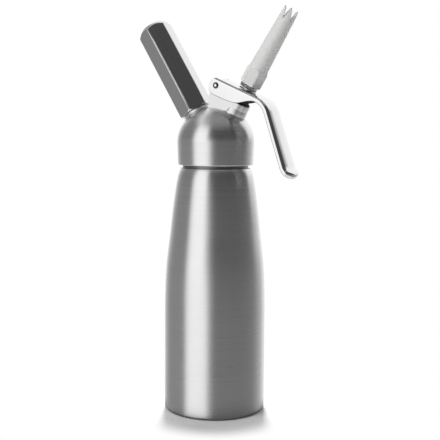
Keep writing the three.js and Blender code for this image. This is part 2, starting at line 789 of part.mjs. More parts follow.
// The star nozzle: a faceted collar and a tapered tube whose end is cut into prongs
function makeNozzle() {
  const collarTop = nozzleBottom + nozzleCollarHeight;
  const cornerRadius = nozzleCollarWidth / 2 / Math.cos(Math.PI / 6);
  const collarBound = turned([
    [0, nozzleBottom],
    [cornerRadius - nozzleCollarBevel / 2, nozzleBottom],
    [cornerRadius, nozzleBottom + nozzleCollarBevel / 2],
    [cornerRadius, collarTop - 2 * nozzleCollarBevel],
    [nozzleBaseRadius, collarTop],
    [0, collarTop],
  ], nozzleSides);
  const collar = hexBar(nozzleCollarWidth, nozzleBottom, collarTop, nozzleCollarTurn)
    .intersect(collarBound);
  const barrel = turned([
    [0, nozzleBottom + nozzleCollarBevel],
    [nozzleBaseRadius, nozzleBottom + nozzleCollarBevel],
    [nozzleBaseRadius, collarTop],
    [nozzleTipRadius, nozzleTop],
    [0, nozzleTop],
  ], nozzleSides);
  const bore = turned([
    [0, nozzleSocketTop],
    [nozzleBaseRadius - nozzleWall, nozzleSocketTop + nozzleWall],
    [nozzleTipRadius - nozzleWall, nozzleTop + cutOverrun],
    [0, nozzleTop + cutOverrun],
  ], nozzleSides);
  const socket = rod(stemRadius + fitGap, nozzleBottom - cutOverrun, nozzleSocketTop + cutOverrun);
  const recess = rod(nozzleGasketRadius + fitGap, nozzleBottom - cutOverrun,
    nozzleBottom + nozzleRecessDepth);
  const notchOutline = [
    [0, nozzleTop - nozzleNotchDepth],
    [nozzleNotchWidth / 2, nozzleTop + fitGap],
    [-nozzleNotchWidth / 2, nozzleTop + fitGap],
  ];
  const notches = [];
  for (let notch = 0; notch < nozzleProngs; notch += 1) {
    const angle = (360 * notch) / nozzleProngs;
    notches.push(plate(notchOutline, nozzleBaseRadius, nozzleBaseRadius / 2 + fitGap)
      .rotate([0, 0, angle]));
  }
  return cutAll(collar.add(barrel), [bore, socket, recess, ...notches]);
}

// The charger holder: a hexagonal cap with turned ends, a bore and a threaded socket
function makeChargerHolder() {
  const bottom = portTop + fitGap;
  const cornerRadius = holderWidth / 2 / Math.cos(Math.PI / 6);
  const bound = turned([
    [0, bottom],
    [cornerRadius - holderFootBevel, bottom],
    [cornerRadius, bottom + holderFootBevel],
    [cornerRadius, holderTop - holderTopBevel],
    [holderTopRadius, holderTop],
    [0, holderTop],
  ]);
  const socketTop = bottom + holderSocketDepth;
  const bore = turned([
    [0, bottom - cutOverrun],
    [holderSocketRadius, bottom - cutOverrun],
    [holderSocketRadius, socketTop],
    [holderBore, socketTop + holderSocketRadius - holderBore],
    [holderBore, holderBoreTop],
    [0, holderBoreTop],
  ]);
  const thread = threadRidge({
    root: holderSocketRadius + threadBite,
    crest: (stubRadius + fitGap) * threadCrestSwell,
    bottom: portTop + stubThreadLead,
    lead: stubThreadLead,
    turns: (stubTop - portTop) / stubThreadLead - 1,
    width: stubThreadWidth,
    steps: threadSteps,
  });
  return hexBar(holderWidth, bottom, holderTop, holderTurn).intersect(bound).subtract(bore)
    .add(thread);
}

// The charger: a drawn steel bottle with a pierced neck
function makeCharger() {
  const shoulder = chargerBottom + chargerNeckLength;
  const bodyStart = shoulder + chargerShoulderLength;
  const top = chargerBottom + chargerLength;
  const endStart = top - chargerEndRise;
  const cap = (radius, rise, from) => arc(0, 0, 1, 0, Math.PI / 2, 5)
    .map(([x, y]) => [radius * x, from + rise * y]);
  const outerCap = cap(chargerRadius, chargerEndRise, endStart);
  const innerCap = cap(chargerRadius - chargerWall, chargerEndRise - chargerWall, endStart).reverse();
  outerCap[outerCap.length - 1][0] = 0;
  innerCap[0][0] = 0;
  return turned([
    ...innerCap,
    [chargerRadius - chargerWall, bodyStart],
    [chargerNeckRadius - chargerWall, shoulder],
    [chargerNeckRadius - chargerWall, chargerBottom + chargerWall],
    [needleHole, chargerBottom + chargerWall],
    [needleHole, chargerBottom],
    [chargerNeckRadius, chargerBottom],
    [chargerNeckRadius, shoulder],
    [chargerRadius, bodyStart],
    ...outerCap,
  ], middleSides);
}

function makePiercingPin() {
  const flangeBottom = stubBoreFloor + fitGap;
  const flangeTop = flangeBottom + piercingFlangeHeight;
  return turned([
    [needleBore, tailBottom],
    [tailRadius, tailBottom],
    [tailRadius, flangeBottom],
    [stubBore - fitGap, flangeBottom],
    [stubBore - fitGap, flangeTop],
    [needleRadius, flangeTop],
    [needleRadius, needleTop - needlePoint],
    [needleTipRadius, needleTop],
    [needleBore, needleTop],
    [needleBore, tailBottom],
  ], smallSides);
}

// Bottle and gasket
addPiece(group, 'bottle', makeBottle(), 'brushedAluminium');
addPiece(group, 'head_gasket',
  tube(gasketInnerRadius, gasketOuterRadius, gasketBottom, gasketBottom + gasketThickness, fineSides),
  'redRubber');

// Head and lever
addPiece(group, 'head', makeHead(), 'brushedAluminium');
addPiece(leverFrame, 'lever', makeLever(), 'polishedSteel');
addPiece(leverFrame, 'lever_pin', makeLeverPin(), 'polishedSteel');

// Valve
const bushBottom = plungerBoreFloor + fitGap;
const ringMiddle = ringBoreFloor + fitGap + ringSection;
const nozzleGasketBottom = nozzleBottom + nozzleRecessDepth - fitGap - nozzleGasketThickness;
const stemHole = stemRadius + fitGap;
addPiece(nozzleLine, 'valve_stem', makeValveStem(), 'polishedSteel');
addPiece(nozzleLine, 'valve_thimble', makeThimble(), 'blackPlastic');
addPiece(nozzleLine, 'valve_spring', makeValveSpring(), 'springSteel');
addPiece(nozzleLine, 'boss_bush',
  tube(stemHole, plungerBore - fitGap, bushBottom, bushBottom + bushHeight), 'milkyPlastic');
const ringProfile = arc(ringRadius, ringMiddle, ringSection, 0, 2 * Math.PI, 8);
ringProfile[ringProfile.length - 1] = ringProfile[0];
addPiece(nozzleLine, 'stem_o_ring', turned(ringProfile, smallSides), 'blackRubber');
addPiece(nozzleLine, 'valve_seal',
  tube(stemStudRadius + fitGap, sealRadius, sealTop - sealThickness, sealTop), 'blackRubber');
addPiece(nozzleLine, 'valve_foot',
  hexBar(footNutWidth, footNutTop - footNutHeight, footNutTop).subtract(
    rod(stemStudRadius + fitGap, footNutTop - footNutHeight - cutOverrun, footNutTop + cutOverrun)),
  'brass');
addPiece(nozzleLine, 'stem_washer',
  tube(stemHole, washerRadius, washerBottom, washerBottom + washerThickness), 'polishedSteel');
addPiece(nozzleLine, 'stem_nut',
  hexBar(stemNutWidth, stemNutBottom, stemNutBottom + stemNutHeight).subtract(
    rod(stemHole, stemNutBottom - cutOverrun, stemNutBottom + stemNutHeight + cutOverrun)),
  'polishedSteel');

// Nozzle
addPiece(nozzleLine, 'nozzle_gasket',
  tube(stemHole, nozzleGasketRadius, nozzleGasketBottom, nozzleGasketBottom + nozzleGasketThickness),
  'blackRubber');
addPiece(nozzleLine, 'nozzle', makeNozzle(), 'milkyPlastic');

// Charger line
addPiece(chargerLine, 'charger_holder', makeChargerHolder(), 'brushedAluminium');
addPiece(chargerLine, 'charger', makeCharger(), 'chargerSteel');
addPiece(chargerLine, 'piercing_pin', makePiercingPin(), 'brass');
addPiece(chargerLine, 'port_gasket',
  tube(needleHole, stubBore - fitGap, portGasketBottom, portGasketBottom + portGasketThickness),
  'redRubber');
addPiece(chargerLine, 'check_sleeve',
  tube(tailRadius + fitGap, tailRadius + fitGap + sleeveThickness, sleeveBottom,
    sleeveBottom + sleeveLength, smallSides),
  'blackRubber');
addPiece(chargerLine, 'check_cap',
  tube(tailRadius + fitGap, tailRadius + fitGap + sleeveThickness, checkCapBottom,
    checkCapBottom + checkCapHeight, smallSides),
  'brass');

export default group;
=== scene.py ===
# Visible surfaces of a whipped cream dispenser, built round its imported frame. Lengths are in metres.
import json
import math
from collections import namedtuple

import bmesh
import bpy
from mathutils import Matrix, Vector


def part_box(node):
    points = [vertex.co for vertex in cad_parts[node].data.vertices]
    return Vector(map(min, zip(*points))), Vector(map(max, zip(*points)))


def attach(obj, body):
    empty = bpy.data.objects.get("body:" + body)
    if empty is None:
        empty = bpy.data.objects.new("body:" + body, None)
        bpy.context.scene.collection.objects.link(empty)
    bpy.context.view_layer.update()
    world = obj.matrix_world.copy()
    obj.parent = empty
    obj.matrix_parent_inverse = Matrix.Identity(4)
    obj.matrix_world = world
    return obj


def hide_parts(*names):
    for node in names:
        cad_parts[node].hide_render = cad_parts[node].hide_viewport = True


bl_info = {
    "name": "Whipped cream dispenser",
    "version": (1, 0, 0),
    "blender": (4, 5, 0),
    "location": "View3D > Sidebar > Dispenser",
    "description": "Builds the visible surfaces of a whipped cream dispenser round its frame",
    "category": "Add Mesh",
}

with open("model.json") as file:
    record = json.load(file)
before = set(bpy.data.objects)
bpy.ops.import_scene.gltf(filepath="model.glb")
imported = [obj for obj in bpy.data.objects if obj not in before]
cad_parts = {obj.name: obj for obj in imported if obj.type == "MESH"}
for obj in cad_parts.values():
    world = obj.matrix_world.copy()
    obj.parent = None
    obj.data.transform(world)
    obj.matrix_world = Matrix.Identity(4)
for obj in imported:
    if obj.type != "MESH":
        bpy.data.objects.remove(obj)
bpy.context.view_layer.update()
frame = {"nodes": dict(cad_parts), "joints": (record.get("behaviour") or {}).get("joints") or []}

MM = 0.001
FULL_TURN = 2 * math.pi
FINE_SIDES = 160
SMALL_SIDES = 72
ROUNDING_STEPS = 5
# A rounding takes no more than this share of the sides that it joins.
ROUNDED_SHARE = 0.49
THREAD_STEPS = 96
# Turns over which a thread rises from its root
THREAD_FADE = 0.12
# Edges that turn more than this stay sharp.
SMOOTH_ANGLE = math.radians(28)
SHADING_WEIGHT = 80
BEVEL_SEGMENTS = 3
BEVEL_ANGLE = math.radians(25)
CUT_OVERRUN = 2 * MM
# A ring of points closer to the axis than this is one point.
AXIS_TOLERANCE = 0.001 * MM
FACE_TOLERANCE = 0.1 * MM

# Gaps between pieces that fit together
FIT_GAP = 0.3 * MM
RING_GAP = 0.35 * MM
GAS_GAP = 0.5 * MM
THREAD_GAP = 0.4 * MM
# How deep a thread's root sits in its wall, and the size of the stub's thread
THREAD_BITE = 0.3 * MM
STUB_THREAD_HEIGHT = 0.8 * MM
STUB_THREAD_WIDTH = 0.75 * MM

# Roundings of edges, from the sharpest to the broadest
SHARP_EDGE = 0.1 * MM
THIN_EDGE = 0.15 * MM
FINE_EDGE = 0.2 * MM
EDGE = 0.3 * MM
BROAD_EDGE = 0.4 * MM

# Finishes of the lever's sheet: outside, inside and along its cut edges. The inside and the cut edges are
# duller steel, darkened further as painted shade.
SHEET_FINISHES = ["mirror_steel", "pressed_steel", "edge_steel"]
# The range that most of a noise lies in, and how deep the finest relief of a surface is
NOISE_RANGE = (0.3, 0.7)
METAL_RELIEF = 0.02 * MM
PLASTIC_RELIEF = 0.05 * MM
# How much of its colour a polished end keeps at its rim, where a painted dark reflection stands in for
# the dark room that the domed end mirrors
PAINTED_REFLECTION_RIM = 0.14
# How far light scatters under the surface of milky plastic
SCATTER = 3 * MM

Extent = namedtuple("Extent", "low high inner outer")
Station = namedtuple("Station", "along across ahead out depth limit")

# Places taken from the frame's joints. The two leaning axes meet on the bottle's axis.
joints = {joint["name"]: joint for joint in frame["joints"]}
nozzle_axis = Vector(joints["nozzle_turn"]["axis"])
nozzle_point = Vector(joints["nozzle_turn"]["pos_m"])
LEAN = math.atan2(nozzle_axis.x, nozzle_axis.z)
MEETING_HEIGHT = nozzle_point.z - nozzle_point.x / math.tan(LEAN)
PIN_PLACE = Vector(joints["lever_pivot"]["pos_m"])
LEVER_SLOPE = math.radians(23.2)

UPRIGHT = Matrix.Identity(4)
SIDEWAYS = Matrix.Rotation(math.radians(90), 4, "X")
MEETING = Matrix.Translation((0, 0, MEETING_HEIGHT))
NOZZLE_LINE = MEETING @ Matrix.Rotation(LEAN, 4, "Y")
CHARGER_LINE = MEETING @ Matrix.Rotation(-LEAN, 4, "Y")
LEVER_FRAME = Matrix.Translation(PIN_PLACE) @ Matrix.Rotation(LEVER_SLOPE, 4, "Y")
PIN_LINE = LEVER_FRAME @ SIDEWAYS


def length(name, description, millimetres):
    """A length that a user may change, given in millimetres and kept in metres."""
    return bpy.props.FloatProperty(
        name=name, description=description, default=millimetres * MM, min=0,
        unit="LENGTH", subtype="DISTANCE", precision=5)


def angle(name, description, degrees):
    """An angle that a user may change, given in degrees and kept in radians."""
    return bpy.props.FloatProperty(
        name=name, description=description, default=math.radians(degrees),
        unit="ROTATION", subtype="ANGLE")


def colour(name, description, red, green, blue):
    """A colour that a user may change."""
    return bpy.props.FloatVectorProperty(
        name=name, description=description, default=(red, green, blue),
        size=3, min=0, max=1, subtype="COLOR")


class BottleSizes(bpy.types.PropertyGroup):
    """Sizes of the bottle"""

    wall: length("Wall", "Thickness of the bottle's wall", 1.6)
    base_rounding: length("Base rounding", "Radius at the foot of the bottle", 2.2)
    collar_radius: length("Collar radius", "Radius of the collar under the neck's thread", 26)
    collar_height: length("Collar height", "Height of the collar above the shoulder", 3.6)
    neck_radius: length("Neck radius", "Radius of the neck under its thread", 23.6)
    neck_height: length("Neck height", "Height of the neck above the shoulder", 15)
    mouth_radius: length("Mouth radius", "Radius of the bottle's mouth", 20.6)
    thread_lead: length("Thread lead", "Rise of the neck's thread in one turn", 3.2)
    thread_height: length("Thread height", "How far the neck's thread stands out", 1.2)
    thread_width: length("Thread width", "Width of the thread at its root", 1.15)


class HeadSizes(bpy.types.PropertyGroup):
    """Sizes of the head"""

    seam: length("Seam", "Gap between the bottle's shoulder and the head's skirt", 2.6)
    skirt_radius: length("Skirt radius", "Radius of the head at its lower edge", 29.9)
    dome_radius: length("Dome radius", "Radius of the head where the dome springs", 30.5)
    dome_spring: length("Dome spring", "Height of the skirt below the dome", 18)
    dome_rise: length("Dome rise", "Height of the dome above its spring", 28.2)
    block_width: length("Block width", "Width of the polished block", 18)
    boss_radius: length("Boss radius", "Radius of the nozzle's boss", 8.9)
    boss_top: length("Boss top", "Top of the boss along the nozzle's axis", 41.5)
    port_radius: length("Port radius", "Radius of the charger's port", 11.5)
    port_top: length("Port top", "Top of the port along the charger's axis", 32.2)
    stub_radius: length("Stub radius", "Radius of the threaded stub on the port", 9.6)
    stub_height: length("Stub height", "Height of the threaded stub above the port", 12.8)
    stub_lead: length("Stub lead", "Rise of the stub's thread in one turn", 2)
    lug_radius: length("Lug radius", "Radius of the block's round end about the pin", 3.9)
    block_back: length("Block back", "From the pin to the block's left face", 7.3)
    block_root: length("Block root", "Foot of the block above the meeting point", 21)


class HolderSizes(bpy.types.PropertyGroup):
    """Sizes of the charger holder"""

    width: length("Width", "Width of the charger holder across its flats", 24.5)
    top: length("Top", "Top of the holder along the charger's axis", 112)
    bore: length("Bore", "Radius of the bore that takes the charger", 9.3)
    foot_bevel: length("Foot bevel", "Bevel of the corners at the holder's foot", 1.4)
    turn: angle("Turn", "Turn of the holder's corners", 6)
    edge: length("Edge", "Rounding of the holder's long edges", 0.75)
    end_bevel: length("End bevel", "Height of the turned end", 4.2)
    end_radius: length("End radius", "Radius of the turned end's flat face", 10.6)


class LeverSizes(bpy.types.PropertyGroup):
    """Sizes of the lever"""

    sheet: length("Sheet", "Thickness of the lever's sheet steel", 1.2)
    width: length("Width", "Width of the lever over its rims", 21)
    lip: length("Lip", "Height of the soft lip along the sheet's edge", 0.4)
    corner: length("Corner", "Outer radius of the corners between web and rims", 2.6)
    rim: length("Rim", "Depth of the rims along the handle", 4.5)
    crown: length("Crown", "How much the lever's back bulges between its corners", 0.55)
    head_length: length("Head length", "From the pin to the bend", 44.6)
    handle_length: length("Handle length", "From the bend to the tip's bend", 53.5)
    tip_length: length("Tip length", "Length of the turned-out tip", 7.4)
    bend: angle("Bend", "Turn of the lever between head and handle", 48.2)
    tip_bend: angle("Tip bend", "Turn of the lever at its tip", 27)
    bend_radius: length("Bend radius", "Radius of the lever's bend", 19)
    tip_radius: length("Tip radius", "Radius of the bend at the tip", 8)
    top_rise: length("Top rise", "Height of the lever's flat top above its pin", 6)
    web_start: length("Web start", "From the pin to the edge of the flat top", 0.4)
    ear_radius: length("Ear radius", "Radius of the ears round the pin", 6.7)
    ear_depth: length("Ear depth", "Depth of the ears below the flat top", 13.4)
    seat_gap: length("Seat gap", "Gap between the thimble and the lever", 1.3)
    slot_run: length("Slot run", "How much longer than wide the stem's slot is", 3.4)
    slot_shift: length("Slot shift", "Shift of the slot towards the pin", 0.57)


class ValveSizes(bpy.types.PropertyGroup):
    """Sizes of the valve"""

    stem_radius: length("Stem radius", "Radius of the hollow stem", 4)
    nut_width: length("Nut width", "Width of the lock nut across its flats", 12.4)
    foot_nut_width: length("Foot nut width", "Width of the foot nut across its flats", 9)
    stud_radius: length("Stud radius", "Radius of the stem's lower end", 2.6)
    spring_gap: length("Spring gap", "Space on each side of the spring's coils", 0.2)


class NozzleSizes(bpy.types.PropertyGroup):
    """Sizes of the nozzle"""

    bottom: length("Bottom", "Foot of the nozzle along its axis", 57.03)
    length: length("Length", "Length of the nozzle", 65)
    base_radius: length("Base radius", "Radius of the tube above the collar", 7.7)
    tip_radius: length("Tip radius", "Radius of the tube at its tip", 6)
    wall: length("Wall", "Thickness of the tube's wall", 1.5)
    collar_width: length("Collar width", "Width of the collar across its flats", 15.5)
    collar_height: length("Collar height", "Height of the collar", 14.5)
    notch_depth: length("Notch depth", "Depth of the notches between the prongs", 9)
    notch_width: length("Notch width", "Width of the notches at the tip", 4.9)
    collar_bevel: length("Collar bevel", "Bevel of the collar's corners", 1.6)
    collar_turn: angle("Collar turn", "Turn of the collar's corners", -20)
    prongs: bpy.props.IntProperty(name="Prongs", description="Number of prongs", default=6, min=3)


class Finishes(bpy.types.PropertyGroup):
    """Colours of the dispenser's finishes"""

    aluminium: colour("Aluminium", "Satin aluminium of the bottle and the head", 0.86, 0.86, 0.865)
    # Painted shade: the collar's colour is the bottle's aluminium darkened where it lies in shadow in the
    # recess under the head's skirt.
    collar: colour("Collar", "Shaded collar between the bottle and the head", 0.27, 0.27, 0.272)
    holder: colour("Holder", "Satin aluminium of the charger holder", 0.8, 0.8, 0.805)
    polished: colour("Polished steel", "Lever and pin", 0.88, 0.88, 0.885)
    # Painted shade: the lever's inner side is duller steel, darkened below a steel's own colour to stand
    # for the shade under the lever.
    pressed: colour("Pressed steel", "Inner side of the lever", 0.36, 0.36, 0.365)
    # Painted shade: the cut edges and the lip along the rims are darkened to draw the dark lines that
    # shade and reflections make along the lever's edges.
    edge: colour("Cut edges", "Cut edges of the lever's sheet", 0.2, 0.2, 0.205)
    block: colour("Polished block", "Polished block on the head", 0.8, 0.8, 0.805)
    turned: colour("Turned steel", "Stem, washer, lock nut, spring and small threads", 0.6, 0.6, 0.61)
    charger: colour("Charger", "Zinc-plated steel of the charger", 0.62, 0.63, 0.65)
    brass: colour("Brass", "Foot nut, piercing pin and check cap", 0.72, 0.54, 0.27)
    nozzle: colour("Nozzle", "Milky plastic of the nozzle", 0.88, 0.88, 0.87)
    bush: colour("Bush", "White plastic of the guide bush", 0.82, 0.82, 0.8)
    black_plastic: colour("Black plastic", "Thimble", 0.02, 0.02, 0.021)
    black_rubber: colour("Black rubber", "Seals and sleeve", 0.022, 0.022, 0.023)
    red_rubber: colour("Red rubber", "Gaskets of the head and the port", 0.36, 0.05, 0.035)


class StageSizes(bpy.types.PropertyGroup):
    """Places and sizes of the camera and the table"""

    azimuth: angle("Azimuth", "Direction that the camera stands in", 30)
    pitch: angle("Pitch", "How far the camera looks down", 6.1)
    roll: angle("Roll", "Turn of the camera about its view", 0.35)
    distance: length("Distance", "From the bottle's axis to the camera", 724)
    camera_height: length("Camera height", "Height of the camera above the table", 229.8)
    lens: bpy.props.FloatProperty(
        name="Lens", description="Focal length in millimetres", default=74.45, unit="CAMERA")
    shift: bpy.props.FloatProperty(
        name="Shift", description="Sideways shift of the picture as a share of its width",
        default=0.0107, precision=4)
    shade_shift: length("Shade shift", "How far in front of the axis the shade's middle lies", 16)
    shade_start: length("Shade start", "Reach from its middle at which the shade starts to fade", 38)
    shade_end: length("Shade end", "Reach from its middle at which the table is white", 68)
    floor_radius: length("Floor radius", "Radius of the pale table", 420)


# Mesh making

def around(radius, at, height=0.0):
    """The point at a radius, an angle about the Z axis and a height."""
    return radius * math.cos(at), radius * math.sin(at), height


def rounded(corners, steps=ROUNDING_STEPS):
    """A profile with its corners rounded. Each corner is (radius, height, rounding)."""
    points = []
    for index, (radius, height, rounding) in enumerate(corners):
        here = Vector((radius, height))
        if not rounding or index in (0, len(corners) - 1):
            points.append((radius, height))
            continue
        back = Vector(corners[index - 1][:2]) - here
        ahead = Vector(corners[index + 1][:2]) - here
        half = back.angle(ahead) / 2
        reach = min(rounding / math.tan(half), ROUNDED_SHARE * back.length, ROUNDED_SHARE * ahead.length)
        bend = reach * math.tan(half)
        centre = here + (back.normalized() + ahead.normalized()).normalized() * bend / math.sin(half)
        first = here + back.normalized() * reach - centre
        last = here + ahead.normalized() * reach - centre
        start = math.atan2(first.y, first.x)
        turn = (math.atan2(last.y, last.x) - start + math.pi) % FULL_TURN - math.pi
        for step in range(steps + 1):
            at = start + turn * step / steps
            points.append((centre.x + bend * math.cos(at), centre.y + bend * math.sin(at)))
    return points


def revolved(rows, sides=FINE_SIDES, closed=False):
    """A body about the Z axis. A row is (radius, height), or a function of the angle that gives it."""
    body = bmesh.new()
    brush = body.loops.layers.uv.new("brush")
    angles = [FULL_TURN * side / sides for side in range(sides)]
    rings = []
    middles = []
    for row in rows:
        pairs = [row(at) if callable(row) else row for at in angles]
        widest = max(radius for radius, _ in pairs)
        middles.append(Vector((widest, sum(height for _, height in pairs) / sides)))
        if widest < AXIS_TOLERANCE:
            rings.append([body.verts.new((0, 0, pairs[0][1]))] * sides)
        else:
            rings.append([body.verts.new(around(radius, at, height))
                          for (radius, height), at in zip(pairs, angles)])
    if closed:
        rings.append(rings[0])
        middles.append(middles[0])
    reference = max(middle.x for middle in middles)
    along = [0.0]
    for middle, following in zip(middles, middles[1:]):
        along.append(along[-1] + (following - middle).length)
    for level, (lower, upper) in enumerate(zip(rings, rings[1:])):
        for side in range(sides):
            following = (side + 1) % sides
            corners = {}
            for vertex, column, row in ((lower[side], side, level), (lower[following], side + 1, level),
                                        (upper[following], side + 1, level + 1),
                                        (upper[side], side, level + 1)):
                corners.setdefault(vertex, (column, row))
            if len(corners) < 3:
                continue
            face = body.faces.new(list(corners))
            for loop, (column, row) in zip(face.loops, corners.values()):
                loop[brush].uv = (FULL_TURN * column / sides * reference, along[row])
    return body


def tube(inner, outer, bottom, top, edge):
    """A plain ring with rounded edges."""
    corners = [(inner, bottom, edge), (outer, bottom, edge), (outer, top, edge), (inner, top, edge)]
    middle = (inner, (bottom + top) / 2, 0)
    return revolved(rounded([middle, *corners, middle])[:-1], SMALL_SIDES, closed=True)


def rod(radius, bottom, top, placement=UPRIGHT):
    """A round bar as a tool for cuts."""
    body = revolved([(0, bottom), (radius, bottom), (radius, top), (0, top)], SMALL_SIDES)
    body.transform(placement)
    return body


def plate(outline, width):
    """An outline in X and Z as a plate that is centred on Y."""
    body = bmesh.new()
    near = [body.verts.new((x, -width / 2, z)) for x, z in outline]
    far = [body.verts.new((x, width / 2, z)) for x, z in outline]
    body.faces.new(near)
    body.faces.new(far[::-1])
    for index in range(len(outline)):
        following = (index + 1) % len(outline)
        body.faces.new([near[index], far[index], far[following], near[following]])
    return body


def strand(rings, along, across):
    """A strand with closed ends through rings of points. A step of its brush lines has the size given."""
    body = bmesh.new()
    brush = body.loops.layers.uv.new("brush")
    rings = [[body.verts.new(point) for point in ring] for ring in rings]
    count = len(rings[0])
    for step, (near, far) in enumerate(zip(rings, rings[1:])):
        for side in range(count):
            following = (side + 1) % count
            face = body.faces.new([near[side], near[following], far[following], far[side]])
            for loop, (column, row) in zip(face.loops, ((step, side), (step, side + 1),
                                                        (step + 1, side + 1), (step + 1, side))):
                loop[brush].uv = (along * column, across * row)
    body.faces.new(rings[0])
    body.faces.new(rings[-1][::-1])
    return body


def ridge(root, crest, bottom, lead, turns, width, steps=THREAD_STEPS):
    """A right-handed thread that rises from its root and sinks into it again."""
    flank = width * 0.3
    soft = width * 0.12
    shape = [(0, 0), (0.75, flank * 0.75), (1, flank + soft), (1, width - flank - soft),
             (0.75, width - flank * 0.75), (0, width)]
    total = int(turns * steps)
    rings = []
    for step in range(total + 1):
        share = min(1, step / steps / THREAD_FADE, (total - step) / steps / THREAD_FADE)
        lift = math.sin(share * math.pi / 2)
        rise = bottom + lead * step / steps
        rings.append([around(root + (crest - root) * out * lift, FULL_TURN * step / steps, rise + up)
                      for out, up in shape])
    return strand(rings, root * FULL_TURN / steps, flank)


def hexagon(width, at, edge, turn=0.0):
    """Radius of a hexagon with rounded corners in the direction of an angle."""
    sixth = FULL_TURN / 6
    off = (at - turn + sixth / 2) % sixth - sixth / 2
    corner = corner_radius(width)
    reach = width / 2 / math.cos(off)
    centre = corner - edge / math.cos(sixth / 2)
    rest = sixth / 2 - abs(off)
    across = centre * math.sin(rest)
    if across >= edge:
        return reach
    return min(reach, centre * math.cos(rest) + math.sqrt(edge ** 2 - across ** 2))


def corner_radius(width):
    """Radius of a hexagon's sharp corners from its width across the flats."""
    return width / 2 / math.cos(math.pi / 6)


def spline(points, steps=6):
    """A smooth curve through the points."""
    ends = [points[0], *points, points[-1]]
    smooth = [points[0]]
    for a, b, c, d in zip(ends, ends[1:], ends[2:], ends[3:]):
        for step in range(1, steps + 1):
            t = step / steps
            smooth.append(tuple(
                0.5 * (2 * b[i] + (c[i] - a[i]) * t + (2 * a[i] - 5 * b[i] + 4 * c[i] - d[i]) * t * t
                       + (3 * b[i] - a[i] - 3 * c[i] + d[i]) * t ** 3) for i in range(2)))
    return smooth


def object_from(body, name):
    """An object that holds the mesh data, in the scene."""
    mesh = bpy.data.meshes.new(name)
    body.to_mesh(mesh)
    body.free()
    thing = bpy.data.objects.new(name, mesh)
    bpy.context.scene.collection.objects.link(thing)
    return thing


def worked(body, cutters=(), bevel=0.0, thickness=0.0):
    """The body after its cuts and bevel, as new mesh data. A sheet gets its thickness first."""
    solids = cutters if thickness else [body, *cutters]
    for solid in solids:
        bmesh.ops.recalc_face_normals(solid, faces=solid.faces)
    base = object_from(body, "rough_base")
    if thickness:
        for _ in SHEET_FINISHES:
            base.data.materials.append(None)
        folded = base.modifiers.new("folded", "SOLIDIFY")
        folded.material_offset = 1
        folded.material_offset_rim = 1
        folded.thickness = thickness
        folded.offset = -1
        folded.use_even_offset = True
    tools = [object_from(cutter, "rough_tool") for cutter in cutters]
    for tool in tools:
        cut = base.modifiers.new("cut", "BOOLEAN")
        cut.operation = "DIFFERENCE"
        cut.solver = "EXACT"
        cut.object = tool
    if bevel:
        softening = base.modifiers.new("softening", "BEVEL")
        softening.width = bevel
        softening.segments = BEVEL_SEGMENTS
        softening.limit_method = "ANGLE"
        softening.angle_limit = BEVEL_ANGLE
        softening.miter_outer = "MITER_ARC"
        softening.use_clamp_overlap = True
    bpy.context.view_layer.update()
    ready = base.evaluated_get(bpy.context.evaluated_depsgraph_get())
    result = bmesh.new()
    result.from_mesh(ready.to_mesh())
    ready.to_mesh_clear()
    for thing in [base, *tools]:
        mesh = thing.data
        bpy.data.objects.remove(thing)
        bpy.data.meshes.remove(mesh)
    return result


def add_piece(name, body, rides_on, node, slot, finishes, placement=UPRIGHT):
    """Makes mesh data into a finished piece that stands for a node and moves with a body."""
    bmesh.ops.recalc_face_normals(body, faces=body.faces)
    for face in body.faces:
        face.smooth = True
    for edge in body.edges:
        edge.smooth = len(edge.link_faces) != 2 or edge.calc_face_angle(0) < SMOOTH_ANGLE
    piece = object_from(body, name)
    keep_local_places(piece.data)
    piece.data.transform(placement)
    for finish in finishes:
        piece.data.materials.append(material_named(finish))
    shading = piece.modifiers.new("shading", "WEIGHTED_NORMAL")
    shading.keep_sharp = True
    shading.weight = SHADING_WEIGHT
    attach(piece, rides_on)
    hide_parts(node)


def keep_local_places(mesh):
    """Keeps each point's place before the piece is placed, which the materials read."""
    places = mesh.attributes.new("place", "FLOAT_VECTOR", "POINT")
    for point, vertex in zip(places.data, mesh.vertices):
        point.vector = vertex.co


# Materials

def fill(tree, socket, value):
    """Links another node's output to a socket, or gives the socket a value of its own."""
    if isinstance(value, bpy.types.NodeSocket):
        tree.links.new(value, socket)
    else:
        socket.default_value = value


def add_node(tree, kind, settings=None, **inputs):
    """Adds a shader node. An input is a value or another node's output."""
    made = tree.nodes.new(kind)
    for name, value in (settings or {}).items():
        setattr(made, name, value)
    for name, value in inputs.items():
        fill(tree, made.inputs[name.replace("_", " ")], value)
    return made


def calculated(tree, kind, operation, values):
    """The outputs of a maths node of the kind given."""
    made = add_node(tree, kind, {"operation": operation})
    for socket, value in zip(made.inputs, values):
        fill(tree, socket, value)
    return made.outputs


def maths(tree, operation, *values):
    """A sum on numbers or outputs."""
    return calculated(tree, "ShaderNodeMath", operation, values)[0]


def vector_maths(tree, operation, *values):
    """A sum on vectors."""
    return calculated(tree, "ShaderNodeVectorMath", operation, values)["Vector"]


def vector_length(tree, vector):
    """The length of a vector."""
    return calculated(tree, "ShaderNodeVectorMath", "LENGTH", [vector])["Value"]


def spread(tree, value, low, high, to_low, to_high, way="LINEAR"):
    """Carries a value from one range to another."""
    made = add_node(tree, "ShaderNodeMapRange", {"interpolation_type": way}, From_Min=low,
                    From_Max=high, To_Min=to_low, To_Max=to_high, Value=value)
    return made.outputs["Result"]


def eased(tree, value, low, high, to_low=0.0, to_high=1.0):
    """Carries a value from one range to another, gently at both ends."""
    return spread(tree, value, low, high, to_low, to_high, "SMOOTHSTEP")


def mixed(tree, share, first, second, blend="MIX"):
    """A colour between two colours, or the result of another blend of them."""
    made = add_node(tree, "ShaderNodeMixRGB", {"blend_type": blend}, Fac=share, Color1=first,
                    Color2=second)
    return made.outputs[0]


def blended(tree, first, second, share):
    """A share of the first value and the rest of the second."""
    return maths(tree, "ADD", maths(tree, "MULTIPLY", first, share),
                 maths(tree, "MULTIPLY", second, 1 - share))


